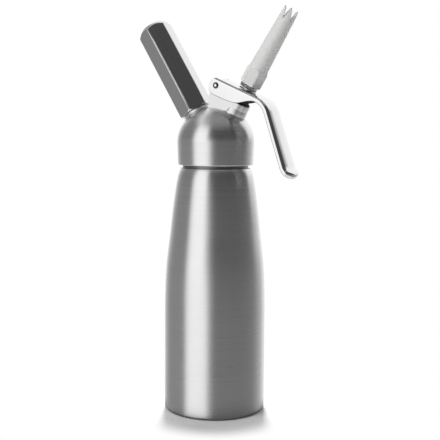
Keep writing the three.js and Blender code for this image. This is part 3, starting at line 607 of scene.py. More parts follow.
def new_material(name):
    """An empty node material with its shader and its place attribute."""
    material = bpy.data.materials.new(name)
    material.use_nodes = True
    tree = material.node_tree
    tree.nodes.clear()
    output = tree.nodes.new("ShaderNodeOutputMaterial")
    shader = tree.nodes.new("ShaderNodeBsdfPrincipled")
    tree.links.new(shader.outputs[0], output.inputs["Surface"])
    place = add_node(tree, "ShaderNodeAttribute", {"attribute_name": "place"})
    return material, tree, shader, place.outputs["Vector"]


def noise(tree, vector, scale, detail=3.0, roughness=0.55, w=None):
    """A noise value, most of it in the usual range."""
    made = add_node(tree, "ShaderNodeTexNoise", {"noise_dimensions": "3D" if w is None else "4D"},
                    Vector=vector, Scale=scale, Detail=detail, Roughness=roughness)
    if w is not None:
        fill(tree, made.inputs["W"], w)
    return made.outputs[0]


def swung(tree, value, low, high):
    """Carries a noise value from its usual range to another."""
    return spread(tree, value, *NOISE_RANGE, low, high)


def tinted(tree, base, value, swing):
    """The base colour, a little lighter or darker with the value."""
    return mixed(tree, 1.0, (*base, 1), swung(tree, value, 1 - swing, 1 + swing), "MULTIPLY")


def bumped(tree, shader, value, strength, distance):
    """Raises the surface a little with the value."""
    bump = add_node(tree, "ShaderNodeBump", Strength=strength, Distance=distance, Height=value)
    tree.links.new(bump.outputs[0], shader.inputs["Normal"])


def set_shader(shader, **values):
    """Sets constants on the shader's own sockets."""
    for name, value in values.items():
        shader.inputs[name.replace("_", " ")].default_value = value


def brushed_metal(name, base, roughness, stretch, way="ring", swing=0.05, depth=1.0):
    """Satin metal with fine scratches that run in rings or lengthways."""
    material, tree, shader, place = new_material(name)
    x, y, z = add_node(tree, "ShaderNodeSeparateXYZ", Vector=place).outputs
    fine, slow = 3600.0, 22.0
    if way == "ring":
        square = maths(tree, "ADD", maths(tree, "MULTIPLY", x, x), maths(tree, "MULTIPLY", y, y))
        quick_ways, steady_ways = (maths(tree, "SQRT", square), z), (x, y)
    else:
        quick_ways, steady_ways = (x, y), (z, z)
    quick_x, quick_y = [maths(tree, "MULTIPLY", value, fine) for value in quick_ways]
    steady_z, along = [maths(tree, "MULTIPLY", value, slow) for value in steady_ways]
    across = add_node(tree, "ShaderNodeCombineXYZ", X=quick_x, Y=quick_y, Z=steady_z).outputs[0]
    scratches = noise(tree, across, scale=1.0, w=along)
    bands = noise(tree, across, scale=0.16, detail=2.0, w=along)
    cloud = noise(tree, place, scale=45.0, detail=4.0)
    both = blended(tree, scratches, bands, 0.6)
    tree.links.new(tinted(tree, base, both, swing), shader.inputs["Base Color"])
    uneven = swung(tree, blended(tree, both, cloud, 0.65), roughness * 0.8, roughness * 1.2)
    tree.links.new(uneven, shader.inputs["Roughness"])
    set_shader(shader, Metallic=1.0, Anisotropic=stretch,
               Anisotropic_Rotation=0.25 if way == "ring" else 0.0)
    tangent = add_node(tree, "ShaderNodeTangent", {"direction_type": "UV_MAP", "uv_map": "brush"})
    tree.links.new(tangent.outputs[0], shader.inputs["Tangent"])
    bumped(tree, shader, bands, 0.06 * depth, METAL_RELIEF)
    return material


def polished_metal(name, base, roughness, swing=0.02, painted_reflection_from=0.0):
    """Mirror-polished metal with faint smudges and hairlines, and a painted dark reflection towards its
    rim where one is given.
    """
    material, tree, shader, place = new_material(name)
    smudge = noise(tree, place, scale=60.0, detail=5.0, roughness=0.6)
    drawn_out = add_node(tree, "ShaderNodeMapping", Vector=place, Scale=(300.0, 2600.0, 900.0))
    hair = noise(tree, drawn_out.outputs[0], scale=1.0, detail=2.0)
    set_shader(shader, Metallic=1.0)
    tint = tinted(tree, base, smudge, swing)
    if painted_reflection_from:
        # Painted reflection: the colour darkens from a radius outwards, standing in for the dark room
        # mirrored in a domed end's rim.
        reach = vector_length(tree, vector_maths(tree, "MULTIPLY", place, (1, 1, 0)))
        edge = spread(tree, reach, painted_reflection_from, 1.2 * painted_reflection_from, 1.0, PAINTED_REFLECTION_RIM)
        tint = mixed(tree, 1.0, tint, edge, "MULTIPLY")
    tree.links.new(tint, shader.inputs["Base Color"])
    uneven = swung(tree, blended(tree, smudge, hair, 0.6), roughness * 0.6, roughness * 1.5)
    tree.links.new(uneven, shader.inputs["Roughness"])
    bumped(tree, shader, smudge, 0.05, METAL_RELIEF)
    return material


def plastic(name, base, roughness, swing=0.04, grain=400.0, depth=0.1, soft=0.0):
    """Moulded plastic or rubber with a fine grain."""
    material, tree, shader, place = new_material(name)
    fine = noise(tree, place, scale=grain)
    cloud = noise(tree, place, scale=70.0)
    tree.links.new(tinted(tree, base, cloud, swing), shader.inputs["Base Color"])
    uneven = swung(tree, cloud, roughness * 0.85, roughness * 1.15)
    tree.links.new(uneven, shader.inputs["Roughness"])
    if soft:
        set_shader(shader, Subsurface_Weight=soft, Subsurface_Radius=(1.0, 1.0, 0.95),
                   Subsurface_Scale=SCATTER)
    bumped(tree, shader, fine, depth, PLASTIC_RELIEF)
    return material


# Each finish has its maker, its colour among the finishes and its other values.
FINISHES = {
    "satin_bottle": (brushed_metal, "aluminium", dict(roughness=0.3, stretch=0.75)),
    # The collar's finish is darker aluminium, as painted shade of the recess under the head's skirt.
    "shaded_collar": (brushed_metal, "collar", dict(roughness=0.4, stretch=0.5)),
    "satin_dome": (brushed_metal, "aluminium", dict(roughness=0.3, stretch=0.75, swing=0.06)),
    "satin_boss": (brushed_metal, "aluminium", dict(roughness=0.33, stretch=0.6, swing=0.08)),
    "satin_port": (brushed_metal, "aluminium", dict(roughness=0.36, stretch=0.6, swing=0.06)),
    "satin_holder": (brushed_metal, "holder",
                     dict(roughness=0.17, stretch=0.2, way="length", swing=0.02, depth=0.3)),
    "polished_block": (polished_metal, "block", dict(roughness=0.16)),
    "mirror_steel": (polished_metal, "polished", dict(roughness=0.05)),
    "bright_steel": (polished_metal, "turned", dict(roughness=0.12, swing=0.05)),
    # The inside and the edges of the lever: duller, rougher steel, darkened as painted shade.
    "pressed_steel": (polished_metal, "pressed", dict(roughness=0.35, swing=0.06)),
    "edge_steel": (polished_metal, "edge", dict(roughness=0.3, swing=0.04)),
    # The pin's domed ends get a painted dark reflection round a bright middle.
    "pin_steel": (polished_metal, "polished", dict(roughness=0.1, painted_reflection_from=0.95 * MM)),
    "turned_steel": (brushed_metal, "turned", dict(roughness=0.28, stretch=0.4)),
    "zinc_steel": (brushed_metal, "charger", dict(roughness=0.3, stretch=0.2, swing=0.03)),
    "turned_brass": (brushed_metal, "brass", dict(roughness=0.3, stretch=0.4)),
    "milky_plastic": (plastic, "nozzle",
                      dict(roughness=0.3, swing=0.02, grain=250.0, depth=0.03, soft=0.1)),
    "white_plastic": (plastic, "bush", dict(roughness=0.4)),
    "black_plastic": (plastic, "black_plastic", dict(roughness=0.4, swing=0.15)),
    "black_rubber": (plastic, "black_rubber", dict(roughness=0.75, swing=0.2, depth=0.3)),
    "red_rubber": (plastic, "red_rubber", dict(roughness=0.7, swing=0.12, depth=0.3)),
}


def material_named(name):
    """One of the dispenser's materials, made when it is first asked for."""
    ready = bpy.data.materials.get(name)
    if ready:
        return ready
    maker, shade, values = FINISHES[name]
    return maker(name, getattr(bpy.context.scene.dispenser_finishes, shade), **values)


# Pieces

def extent(node, line):
    """How far a node reaches along a line, low and high, and about it, inner and outer."""
    inverse = line.inverted()
    points = [inverse @ vertex.co for vertex in frame["nodes"][node].data.vertices]
    radii = [math.hypot(point.x, point.y) for point in points]
    heights = [point.z for point in points]
    return Extent(min(heights), max(heights), min(radii), max(radii))


def stem_bore():
    """Radius of a bore that the stem passes through."""
    return bpy.context.scene.valve_sizes.stem_radius + FIT_GAP


def gas_bore():
    """Radius of the bore round the sleeve of the check valve."""
    return extent("check_sleeve", CHARGER_LINE).outer + GAS_GAP


def pin_bore(length, line=PIN_LINE):
    """A tool for the lever pin's bore."""
    return rod(extent("lever_pin", PIN_LINE).outer + FIT_GAP, -length, length, line)


def boss_steps():
    """Radius and floor of the bush's bore in the boss, then of the ring's bore under it."""
    bush = extent("boss_bush", NOZZLE_LINE)
    ring = extent("stem_o_ring", NOZZLE_LINE)
    return bush.outer + FIT_GAP, bush.low - FIT_GAP, ring.outer + RING_GAP, ring.low - FIT_GAP


def neck_turns(bottle):
    """Turns of the thread that fit on the neck above its collar."""
    return (bottle.neck_height - bottle.collar_height - 4 * bottle.thread_width) / bottle.thread_lead


# Each pair is a share of the shoulder's height and a share of the bottle's radius.
BOTTLE_OUTLINE_SHARES = [
    (0.1, 1), (0.3, 1), (0.44, 1), (0.536, 0.988), (0.603, 0.968), (0.67, 0.933), (0.737, 0.893),
    (0.804, 0.859), (0.869, 0.821), (0.933, 0.776), (0.969, 0.743), (0.99, 0.711), (1, 0.687),
]
INSIDE_SHARE = 0.97
FOOT_STEPS = 10


class MakeBottle(bpy.types.Operator):
    """Makes the brushed bottle with its threaded neck"""

    bl_idname = "dispenser.bottle"
    bl_label = "Bottle"

    def execute(self, context):
        size = context.scene.bottle_sizes
        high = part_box("bottle")[1]
        shoulder = high.z - size.neck_height
        collar = shoulder + size.collar_height
        body = revolved(self.profile(size, high.x, shoulder, collar, high.z))
        # Faces of the collar under the head's skirt get the painted shade of that recess.
        for face in body.faces:
            middle = face.calc_center_median()
            if (middle.xy.length > size.neck_radius - FACE_TOLERANCE
                    and shoulder < middle.z < collar + FACE_TOLERANCE):
                face.material_index = 1
        add_piece("bottle_shell", body, "bottle", "bottle", "bottle_aluminium",
                  ["satin_bottle", "shaded_collar"])
        thread = ridge(size.neck_radius - 0.3 * size.wall, size.neck_radius + size.thread_height,
                       collar + size.thread_width, size.thread_lead, neck_turns(size),
                       size.thread_width)
        add_piece("bottle_thread", thread, "bottle", "bottle", "bottle_aluminium", ["satin_bottle"])
        return {"FINISHED"}

    def profile(self, size, radius, shoulder, collar, mouth):
        """The bottle's profile from the middle of its foot, over the mouth and down inside."""
        wall = size.wall
        side = spline([(radius * across, shoulder * up) for up, across in BOTTLE_OUTLINE_SHARES])
        inside = [(across - wall, up) for across, up in side if up < shoulder * INSIDE_SHARE][::-1]
        foot_inset = size.base_rounding * 2
        foot_rise, inner_base = 0.4 * wall, 1.5 * wall
        collar_edge, root_edge, mouth_edge = 0.4 * wall, 0.2 * wall, 0.35 * wall
        rows = [(0, foot_rise), (radius - 1.3 * foot_inset, foot_rise)]
        rows += rounded([(radius - foot_inset, 0, 0), (radius, 0, size.base_rounding),
                         (radius, side[0][1], 0)], FOOT_STEPS)
        rows += side[1:]
        rows += rounded([
            (size.collar_radius + 0.1 * wall, shoulder + 0.15 * wall, 0),
            (size.collar_radius, shoulder + 0.25 * wall, 0),
            (size.collar_radius, collar, collar_edge),
            (size.neck_radius, collar, root_edge),
            (size.neck_radius, mouth, mouth_edge),
            (size.mouth_radius, mouth, mouth_edge),
            (size.mouth_radius, shoulder - 1.2 * wall, wall),
            (inside[0][0] - 0.1 * wall, inside[0][1] + 2 * wall, wall),
            inside[0] + (0,)])
        rows += inside[1:-1]
        rows += rounded([inside[-1] + (0,), (radius - wall, inner_base, size.base_rounding),
                         (0, inner_base, 0)])
        return rows


# The head's hollow: its threaded bore with a wider mouth, and the cavity above its ledge
BORE_INSET = 5.3 * MM
MOUTH_WIDENING = 1.4 * MM
MOUTH_BEVEL = 1.4 * MM
CAVITY_INSET = 1.6 * MM
CAVITY_BEND, CAVITY_RISE, CAVITY_FLAT = 4.4 * MM, 14.4 * MM, 12 * MM
# Corners of the block's front under its round end, forward of the pin and below it
BLOCK_FRONT = [(8.5 * MM, 8.2 * MM), (5.9 * MM, 6.1 * MM)]
# How far the block's back corner is below the pin, and its front corner below the boss's top
BLOCK_BACK_DROP = 8.1 * MM
BLOCK_FRONT_DROP = 1.2 * MM
# How far the boss and the port go down into the dome, and how far their soft hollows reach
BOSS_DEPTH, BOSS_FLARE = 6 * MM, 2 * MM
PORT_DEPTH, PORT_FLARE = 11 * MM, 1.5 * MM
# How much wider the boss is at its root, and where it narrows below its top
ROOT_WIDENING = 0.4 * MM
ROOT_TOP, NECK_BOTTOM = 7.5 * MM, 5 * MM
PORT_SEAT_DEPTH = 2.4 * MM
# How far the bores go: up for the bush, down for the seal, and down and up for the gas
BUSH_BORE, SEAL_BORE, GAS_BORE_DOWN, GAS_BORE_UP = 20 * MM, 12 * MM, 5 * MM, 8 * MM
SEAL_GAP = 0.6 * MM
# How much wider the bores are cut in the dome and in the block
DOME_ROOM = 0.05 * MM
BLOCK_ROOM = 0.4 * MM
BLOCK_BEVEL = 0.55 * MM
FLARE_STEPS = 7
FLARE_SINK = 2 * MM
# The block's round end starts in front of the pin and goes over it to its back, in degrees.
LUG_START, LUG_SWEEP, LUG_STEPS = -25, 215, 28


def head_bores(room):
    """The nozzle's and the charger's bores in the head, a little wider by the room given."""
    bush_bore, bush_floor, ring_bore, ring_floor = boss_steps()
    seal = extent("valve_seal", NOZZLE_LINE)
    gas = extent("check_sleeve", CHARGER_LINE)
    seat = seal.high + FIT_GAP
    return [
        rod(bush_bore + room, bush_floor - room, bush_floor + BUSH_BORE, NOZZLE_LINE),
        rod(ring_bore + room, ring_floor - room, bush_floor + CUT_OVERRUN, NOZZLE_LINE),
        rod(stem_bore() + room, seat - CUT_OVERRUN, bush_floor, NOZZLE_LINE),
        rod(seal.outer + SEAL_GAP, seat - SEAL_BORE, seat, NOZZLE_LINE),
        rod(gas_bore() + room, gas.low - GAS_BORE_DOWN, gas.high + GAS_BORE_UP, CHARGER_LINE),
    ]


def dome_height(size, spring, line, radius, at):
    """Height along a leaning line at which the dome's surface lies, at a radius and an angle about it."""
    start = line @ Vector(around(radius, at))
    way = line.to_3x3() @ Vector((0, 0, 1))
    wide, tall = size.dome_radius ** 2, size.dome_rise ** 2
    up = start.z - spring
    square = (way.x ** 2 + way.y ** 2) / wide + way.z ** 2 / tall
    middle = (way.x * start.x + way.y * start.y) / wide + way.z * up / tall
    rest = (start.x ** 2 + start.y ** 2) / wide + up ** 2 / tall - 1
    return (math.sqrt(middle ** 2 - square * rest) - middle) / square


def flare(size, line, radius, reach):
    """Rows that carry a round boss down into the dome in a soft hollow."""
    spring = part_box("head")[0].z + size.dome_spring

    def row(share):
        def place(at):
            foot = dome_height(size, spring, line, radius, at)
            edge = dome_height(size, spring, line, radius + reach, at)
            one, two, three = share ** 2, 2 * share * (1 - share), (1 - share) ** 2
            return (one * (radius + reach) + (two + three) * radius,
                    one * edge + two * foot + three * (foot + reach))
        return place

    def sunk(at):
        return radius + reach, dome_height(size, spring, line, radius + reach, at) - FLARE_SINK

    return [sunk, *[row(step / FLARE_STEPS) for step in range(FLARE_STEPS, -1, -1)]]


class MakeHead(bpy.types.Operator):
    """Makes the domed head with its polished block, nozzle boss and charger port"""

    bl_idname = "dispenser.head"
    bl_label = "Head"

    def execute(self, context):
        size = context.scene.head_sizes
        self.make_dome(size, context.scene.bottle_sizes)
        self.make_block(size)
        self.make_boss(size)
        self.make_port(size)
        return {"FINISHED"}

    def make_dome(self, size, bottle):
        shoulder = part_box("bottle")[1].z - bottle.neck_height
        low = shoulder + size.seam
        spring = low + size.dome_spring
        ledge = extent("head_gasket", UPRIGHT).high + FIT_GAP
        bore = size.dome_radius - BORE_INSET
        mouth_bore = bore + MOUTH_WIDENING
        mouth_top = shoulder + bottle.collar_height + FIT_GAP
        cavity = bottle.mouth_radius - CAVITY_INSET
        cavity_bend, cavity_top = ledge + CAVITY_BEND, ledge + CAVITY_RISE
        dome = [(size.dome_radius * math.cos(math.radians(at)),
                 spring + size.dome_rise * math.sin(math.radians(at))) for at in range(0, 90, 3)]
        rows = rounded([
            (0, cavity_top, 0), (CAVITY_FLAT, cavity_top, 4 * MM), (cavity, cavity_bend, 3 * MM),
            (cavity, ledge, EDGE), (bore, ledge, 0.5 * MM),
            (bore, mouth_top + MOUTH_BEVEL, EDGE),
            (mouth_bore, mouth_top, EDGE), (mouth_bore, low, BROAD_EDGE),
            (size.skirt_radius, low, 0.9 * MM), dome[0] + (0,)], 6)
        rows += dome[1:] + [(0, spring + size.dome_rise)]
        body = worked(revolved(rows), head_bores(DOME_ROOM))
        add_piece("head_dome", body, "head", "head", "head_aluminium", ["satin_dome"])
        start = shoulder + bottle.collar_height + bottle.thread_width + bottle.thread_lead / 2
        thread = ridge(bore + THREAD_BITE, bottle.neck_radius + THREAD_GAP, start, bottle.thread_lead,
                       neck_turns(bottle), bottle.thread_width)
        add_piece("head_thread", thread, "head", "head", "head_aluminium", ["satin_dome"])

    def make_block(self, size):
        pin_x, pin_height = PIN_PLACE.x, PIN_PLACE.z - MEETING_HEIGHT
        left = pin_x - size.block_back
        along = Vector((math.sin(LEAN), math.cos(LEAN)))
        low, high = size.block_root / along.y, size.boss_top - BLOCK_FRONT_DROP
        outline = [(left, size.block_root), (along.x * low, size.block_root),
                   (along.x * high, along.y * high)]
        outline += [(pin_x + ahead, pin_height - down) for ahead, down in BLOCK_FRONT]
        for step in range(LUG_STEPS + 1):
            at = math.radians(LUG_START + LUG_SWEEP * step / LUG_STEPS)
            outline.append((pin_x + size.lug_radius * math.cos(at),
                            pin_height + size.lug_radius * math.sin(at)))
        outline.append((left, pin_height - BLOCK_BACK_DROP))
        block = plate(outline, size.block_width)
        block.transform(MEETING)
        body = worked(block, [pin_bore(size.block_width), *head_bores(BLOCK_ROOM)], bevel=BLOCK_BEVEL)
        add_piece("head_block", body, "head", "head", "head_aluminium", ["polished_block"])

    def make_boss(self, size):
        bore, floor, ring_bore, ring_floor = boss_steps()
        stem, top = stem_bore(), size.boss_top
        foot = floor - BOSS_DEPTH
        root = size.boss_radius + ROOT_WIDENING
        rows = [(stem, foot + MM), (stem, foot), (root, foot)]
        rows += flare(size, NOZZLE_LINE, root, BOSS_FLARE)
        rows += rounded([
            (root, top - ROOT_TOP, 0), (size.boss_radius, top - NECK_BOTTOM, MM),
            (size.boss_radius, top, 0.8 * MM), (bore, top, BROAD_EDGE),
            (bore, floor, EDGE), (ring_bore, floor, THIN_EDGE),
            (ring_bore, ring_floor, THIN_EDGE), (stem, ring_floor, THIN_EDGE), (stem, foot + MM, 0)])
        add_piece("head_boss", revolved(rows[:-1], closed=True), "head", "head", "head_aluminium",
                  ["satin_boss"], NOZZLE_LINE)

    def make_port(self, size):
        bore = extent("piercing_pin", CHARGER_LINE).outer + FIT_GAP
        floor = extent("port_gasket", CHARGER_LINE).low - PORT_SEAT_DEPTH
        gas, foot, top = gas_bore(), size.port_top - PORT_DEPTH, size.port_top
        stub_top = top + size.stub_height
        rows = [(gas, foot + MM), (gas, foot), (size.port_radius, foot)]
        rows += flare(size, CHARGER_LINE, size.port_radius, PORT_FLARE)
        rows += rounded([
            (size.port_radius, top - 0.7 * MM, 0), (size.port_radius, top, BROAD_EDGE),
            (size.stub_radius, top, EDGE), (size.stub_radius, stub_top, 0.6 * MM),
            (bore, stub_top, BROAD_EDGE), (bore, floor, EDGE), (gas, floor, EDGE),
            (gas, foot + MM, 0)])
        add_piece("head_port", revolved(rows[:-1], closed=True), "head", "head", "head_aluminium",
                  ["satin_port"], CHARGER_LINE)
        thread = ridge(size.stub_radius - THREAD_BITE, size.stub_radius + STUB_THREAD_HEIGHT,
                       top + size.stub_lead / 2, size.stub_lead, size.stub_height / size.stub_lead - 1,
                       STUB_THREAD_WIDTH)
        add_piece("head_port_thread", thread, "head", "head", "head_aluminium", ["turned_steel"],
                  CHARGER_LINE)


# Shares of the holder's height, from its top to its foot, at which its faces have a row of points
FACE_SHARES = (0.15, 0.35, 0.5, 0.65, 0.85)
SOCKET_GAP = 1.1 * MM
SOCKET_LIP = 0.8 * MM
HOLDER_EDGE = 0.22 * MM
HOLDER_SIDES = 288


class MakeHolder(bpy.types.Operator):
    """Makes the hexagonal charger holder with its turned end"""

    bl_idname = "dispenser.holder"
    bl_label = "Charger holder"

    def execute(self, context):
        size = context.scene.holder_sizes
        head = context.scene.head_sizes
        bottom = head.port_top + FIT_GAP
        top, end = size.top, size.end_radius
        corner = corner_radius(size.width)
        slope = size.end_bevel / (corner - end)
        socket = head.stub_radius + SOCKET_GAP
        socket_top = bottom + head.stub_height + MM
        bore_top = extent("charger", CHARGER_LINE).high + FIT_GAP
        soft = HOLDER_EDGE

        def side(at):
            return hexagon(size.width, at, size.edge, size.turn)

        def meeting(at):
            return top - (side(at) - end) * slope

        def foot(at):
            return bottom + max(0, side(at) - corner + size.foot_bevel)

        rows = [
            (0, top),
            (end - 1.2 * soft, top),
            (end - 0.3 * soft, top - 0.2 * soft),
            (end + 0.4 * soft, top - 0.9 * soft),
            lambda at: (side(at) - soft, meeting(at) + soft * slope),
            lambda at: (side(at) - 0.35 * soft, meeting(at) + 0.1 * soft),
            lambda at: (side(at), meeting(at) - soft),
            *[lambda at, share=share: (side(at), meeting(at) + (foot(at) - meeting(at)) * share)
              for share in FACE_SHARES],
            lambda at: (side(at), foot(at) + soft),
            lambda at: (side(at) - 0.3 * soft, foot(at) + 0.3 * soft),
            lambda at: (min(side(at) - soft, corner - size.foot_bevel), bottom),
        ]
        rows += rounded([
            (socket + SOCKET_LIP, bottom, 0), (socket, bottom, BROAD_EDGE), (socket, socket_top, EDGE),
            (size.bore, socket_top + socket - size.bore, EDGE), (size.bore, bore_top, 2 * MM),
            (0, bore_top, 0)])
        add_piece("holder_body", revolved(rows, HOLDER_SIDES), "charger_holder", "charger_holder",
                  "holder_aluminium", ["satin_holder"], CHARGER_LINE)
        lead = head.stub_lead
        thread = ridge(socket + THREAD_BITE, head.stub_radius + THREAD_GAP, head.port_top + lead, lead,
                       head.stub_height / lead - 1, STUB_THREAD_WIDTH)
        add_piece("holder_thread", thread, "charger_holder", "charger_holder", "holder_aluminium",
                  ["turned_steel"], CHARGER_LINE)
        return {"FINISHED"}


# Each pair is a share of the lever's head length and a share of the ear's depth.
EAR_OUTLINE_SHARES = [
    (0.009, 1), (0.117, 1), (0.265, 0.98), (0.39, 0.94), (0.487, 0.86), (0.545, 0.77),
    (0.65, 0.545), (0.718, 0.425), (0.78, 0.35), (0.85, 0.336), (1, 0.336),
]
# Steps along the lever: round the ears, along its head, round its bends and handle, round its tip
HEAD_SHARE = 0.85
EAR_STEPS, HEAD_STEPS, HANDLE_STEPS, TIP_STEPS = 15, 48, 110, 28
# Steps across the lever: down a rim, round its corner and over half of its back
RIM_STEPS, CORNER_STEPS, BACK_STEPS = 5, 8, 8
SLOT_STEPS = 32
SLOT_GAP = 0.6 * MM
SLOT_TOOL_WIDTH = 6 * MM
# Points of the sheet that lie closer than this become one.
SHEET_MERGE = 0.01 * MM
# Rise of the pin's domed ends
PIN_DOME = 0.7 * MM
# Angles of the pin's domed end from its axis, in degrees
PIN_END_ANGLES = (13, 26, 40, 54, 68, 80)


def walked(runs, distance):
    """Place and heading after a distance along a line of straight and bent runs."""
    x, z, heading = 0.0, 0.0, 0.0
    for run, turn in runs:
        step = min(distance, run)
        if turn:
            bend = run / turn
            ahead = heading + turn * step / run
            x += bend * (math.sin(ahead) - math.sin(heading))
            z += bend * (math.cos(heading) - math.cos(ahead))
            heading = ahead
        else:
            x += step * math.cos(heading)
            z += step * math.sin(heading)
        distance -= step
        if distance <= 0:
            break
    return x, z, heading


def between(pairs, value):
    """The second number of the pairs, found between them for a first number."""
    for (low, first), (high, second) in zip(pairs, pairs[1:]):
        if value <= high:
            return first + (second - first) * max(0, value - low) / (high - low)
    return pairs[-1][1]


def lever_runs(size):
    """Straight and bent runs of the lever's back, as pairs of a length and a turn."""
    first_reach = size.bend_radius * math.tan(size.bend / 2)
    last_reach = size.tip_radius * math.tan(size.tip_bend / 2)
    return [(size.head_length - first_reach, 0), (size.bend_radius * size.bend, -size.bend),
            (size.handle_length - first_reach - last_reach, 0),
            (size.tip_radius * size.tip_bend, size.tip_bend), (size.tip_length - last_reach, 0)]


def lever_stations(size, runs):
    """Stations along the edge of the flat pattern, from the ears' round ends to the tip."""
    half = size.width / 2
    tip = runs[-1][0]
    tip_start = sum(run for run, _ in runs[:-1])
    ear_line = spline([(along * size.head_length, down * size.ear_depth)
                       for along, down in EAR_OUTLINE_SHARES], 5)
    stations = []
    for step in range(EAR_STEPS):
        at = math.pi / 2 * (1 - step / EAR_STEPS)
        stations.append(Station(
            size.web_start - size.ear_radius * math.sin(at), half, 0, 1,
            size.ear_radius * (1 + math.cos(at)), size.ear_radius * (1 - math.cos(at))))
    head_end = size.head_length * HEAD_SHARE
    marks = [size.web_start + (head_end - size.web_start) * step / HEAD_STEPS
             for step in range(HEAD_STEPS + 1)]
    marks += [head_end + (tip_start - head_end) * step / HANDLE_STEPS
              for step in range(1, HANDLE_STEPS + 1)]
    for mark in marks:
        stations.append(Station(mark, half, 0, 1, max(size.rim, between(ear_line, mark)), 0))
    for step in range(1, TIP_STEPS + 1):
        at = math.pi / 2 * step / TIP_STEPS
        way = Vector((math.sin(at) / tip, math.cos(at) / half)).normalized()
        stations.append(Station(tip_start + tip * math.sin(at), half * math.cos(at), way.x, way.y,
                                size.rim, 0))
    return stations


def lever_row(size, place, station, side):
    """Points across one half of the lever at a station, from the edge of its rim to its middle."""
    flat_half = size.width / 2 - size.corner
    lead = math.atan(2 * size.crown / flat_half)

    def crown(across):
        return size.crown * (across / flat_half) ** 2

    def point(inset, down):
        return place(station.along - station.ahead * inset,
                     side * (station.across - station.out * inset), down)

    rim_top = max(size.corner, station.limit)
    lip = min(size.lip, 0.4 * (station.depth - rim_top))
    lip_top = station.depth - lip
    row = [point(0.7 * lip, station.depth)]
    row += [point(0, lip_top + (rim_top - lip_top) * step / RIM_STEPS) for step in range(RIM_STEPS + 1)]
    inner = max(0, station.across - station.out * size.corner)
    fall = crown(inner)
    share = max(0, station.limit - fall) / (size.corner - fall)
    stop = math.acos(max(0, 1 - share) * math.cos(lead)) if share < 1 else math.pi / 2
    for step in range(1, CORNER_STEPS + 1):
        turn = math.pi / 2 + (stop - math.pi / 2) * step / CORNER_STEPS
        inset = size.corner * (1 - math.sin(turn)) / (1 - math.sin(lead))
        down = fall + (size.corner - fall) * (1 - math.cos(turn) / math.cos(lead))
        row.append(point(inset, down) if share < 1 else point(0, rim_top))
    for step in range(1, BACK_STEPS + 1):
        left = inner * (1 - step / BACK_STEPS)
        row.append(place(station.along - station.ahead * size.corner, side * left, crown(left)))
    return row


class MakeLever(bpy.types.Operator):
    """Makes the pressed steel lever and its pin"""

    bl_idname = "dispenser.lever"
    bl_label = "Lever and pin"

    def execute(self, context):
        size = context.scene.lever_sizes
        tools = [self.slot(size, context.scene.valve_sizes), pin_bore(size.width, SIDEWAYS)]
        sheet = worked(self.pressed(size), tools, thickness=size.sheet)
        add_piece("lever_sheet", sheet, "lever", "lever", "polished_steel", SHEET_FINISHES,
                  LEVER_FRAME)
        self.make_pin()
        return {"FINISHED"}

    def pressed(self, size):
        """The lever's outer face, bent and pressed, before it has its thickness."""
        runs = lever_runs(size)

        def place(along, across, depth):
            x, z, heading = walked(runs, along)
            return (x + math.sin(heading) * depth, across,
                    size.top_rise + z - math.cos(heading) * depth)

        stations = lever_stations(size, runs)
        body = bmesh.new()
        for side in (1, -1):
            rows = [[body.verts.new(point) for point in lever_row(size, place, station, side)]
                    for station in stations]
            for station, near, far in zip(stations, rows, rows[1:]):
                kept = 1 + RIM_STEPS + CORNER_STEPS + (0 if station.limit > 0 else BACK_STEPS)
                for column in range(kept):
                    face = body.faces.new([near[column], near[column + 1], far[column + 1], far[column]])
                    # The lip along each rim's edge gets the cut edges' finish, a dark line of painted
                    # shade.
                    face.material_index = 0 if column else SHEET_FINISHES.index("edge_steel")
        bmesh.ops.remove_doubles(body, verts=body.verts, dist=SHEET_MERGE)
        loose = [vertex for vertex in body.verts if not vertex.link_faces]
        bmesh.ops.delete(body, geom=loose, context="VERTS")
        bmesh.ops.recalc_face_normals(body, faces=body.faces)
        top_face = max(body.faces, key=lambda face: face.calc_center_median().z)
        if top_face.normal.z < 0:
            bmesh.ops.reverse_faces(body, faces=body.faces)
        return body

    def slot(self, size, valve):
        """A tool for the slot in the lever that the stem passes through."""
        seat = extent("valve_thimble", NOZZLE_LINE).high + size.seat_gap
        crossing = LEVER_FRAME.inverted() @ NOZZLE_LINE @ Vector((0, 0, seat + size.sheet / 2))
        radius, half = valve.stem_radius + SLOT_GAP, size.slot_run / 2
        outline = []
        for step in range(SLOT_STEPS + 1):
            at = math.pi * step / SLOT_STEPS - math.pi / 2
            outline.append((half + radius * math.cos(at), radius * math.sin(at)))
        outline += [(-x, -z) for x, z in outline]
        tool = plate(outline, SLOT_TOOL_WIDTH)
        tool.transform(Matrix.Translation((crossing.x - size.slot_shift, 0, size.top_rise)) @ SIDEWAYS)
        return tool

    def make_pin(self):
        pin = extent("lever_pin", PIN_LINE)
        rows = [(0, pin.high)]
        for at in PIN_END_ANGLES:
            rows.append((pin.outer * math.sin(math.radians(at)),
                         pin.high - PIN_DOME + PIN_DOME * math.cos(math.radians(at))))
        rows.append((pin.outer, pin.high - PIN_DOME))
        rows += [(across, pin.low + pin.high - up) for across, up in rows[::-1]]
        add_piece("lever_pin_body", revolved(rows), "head", "lever_pin", "polished_steel",
                  ["pin_steel"], PIN_LINE)


NOZZLE_SIDES = 216
TUBE_STEPS = 6
COLLAR_EDGE = 0.5 * MM
NOZZLE_LEAD = 0.25 * MM


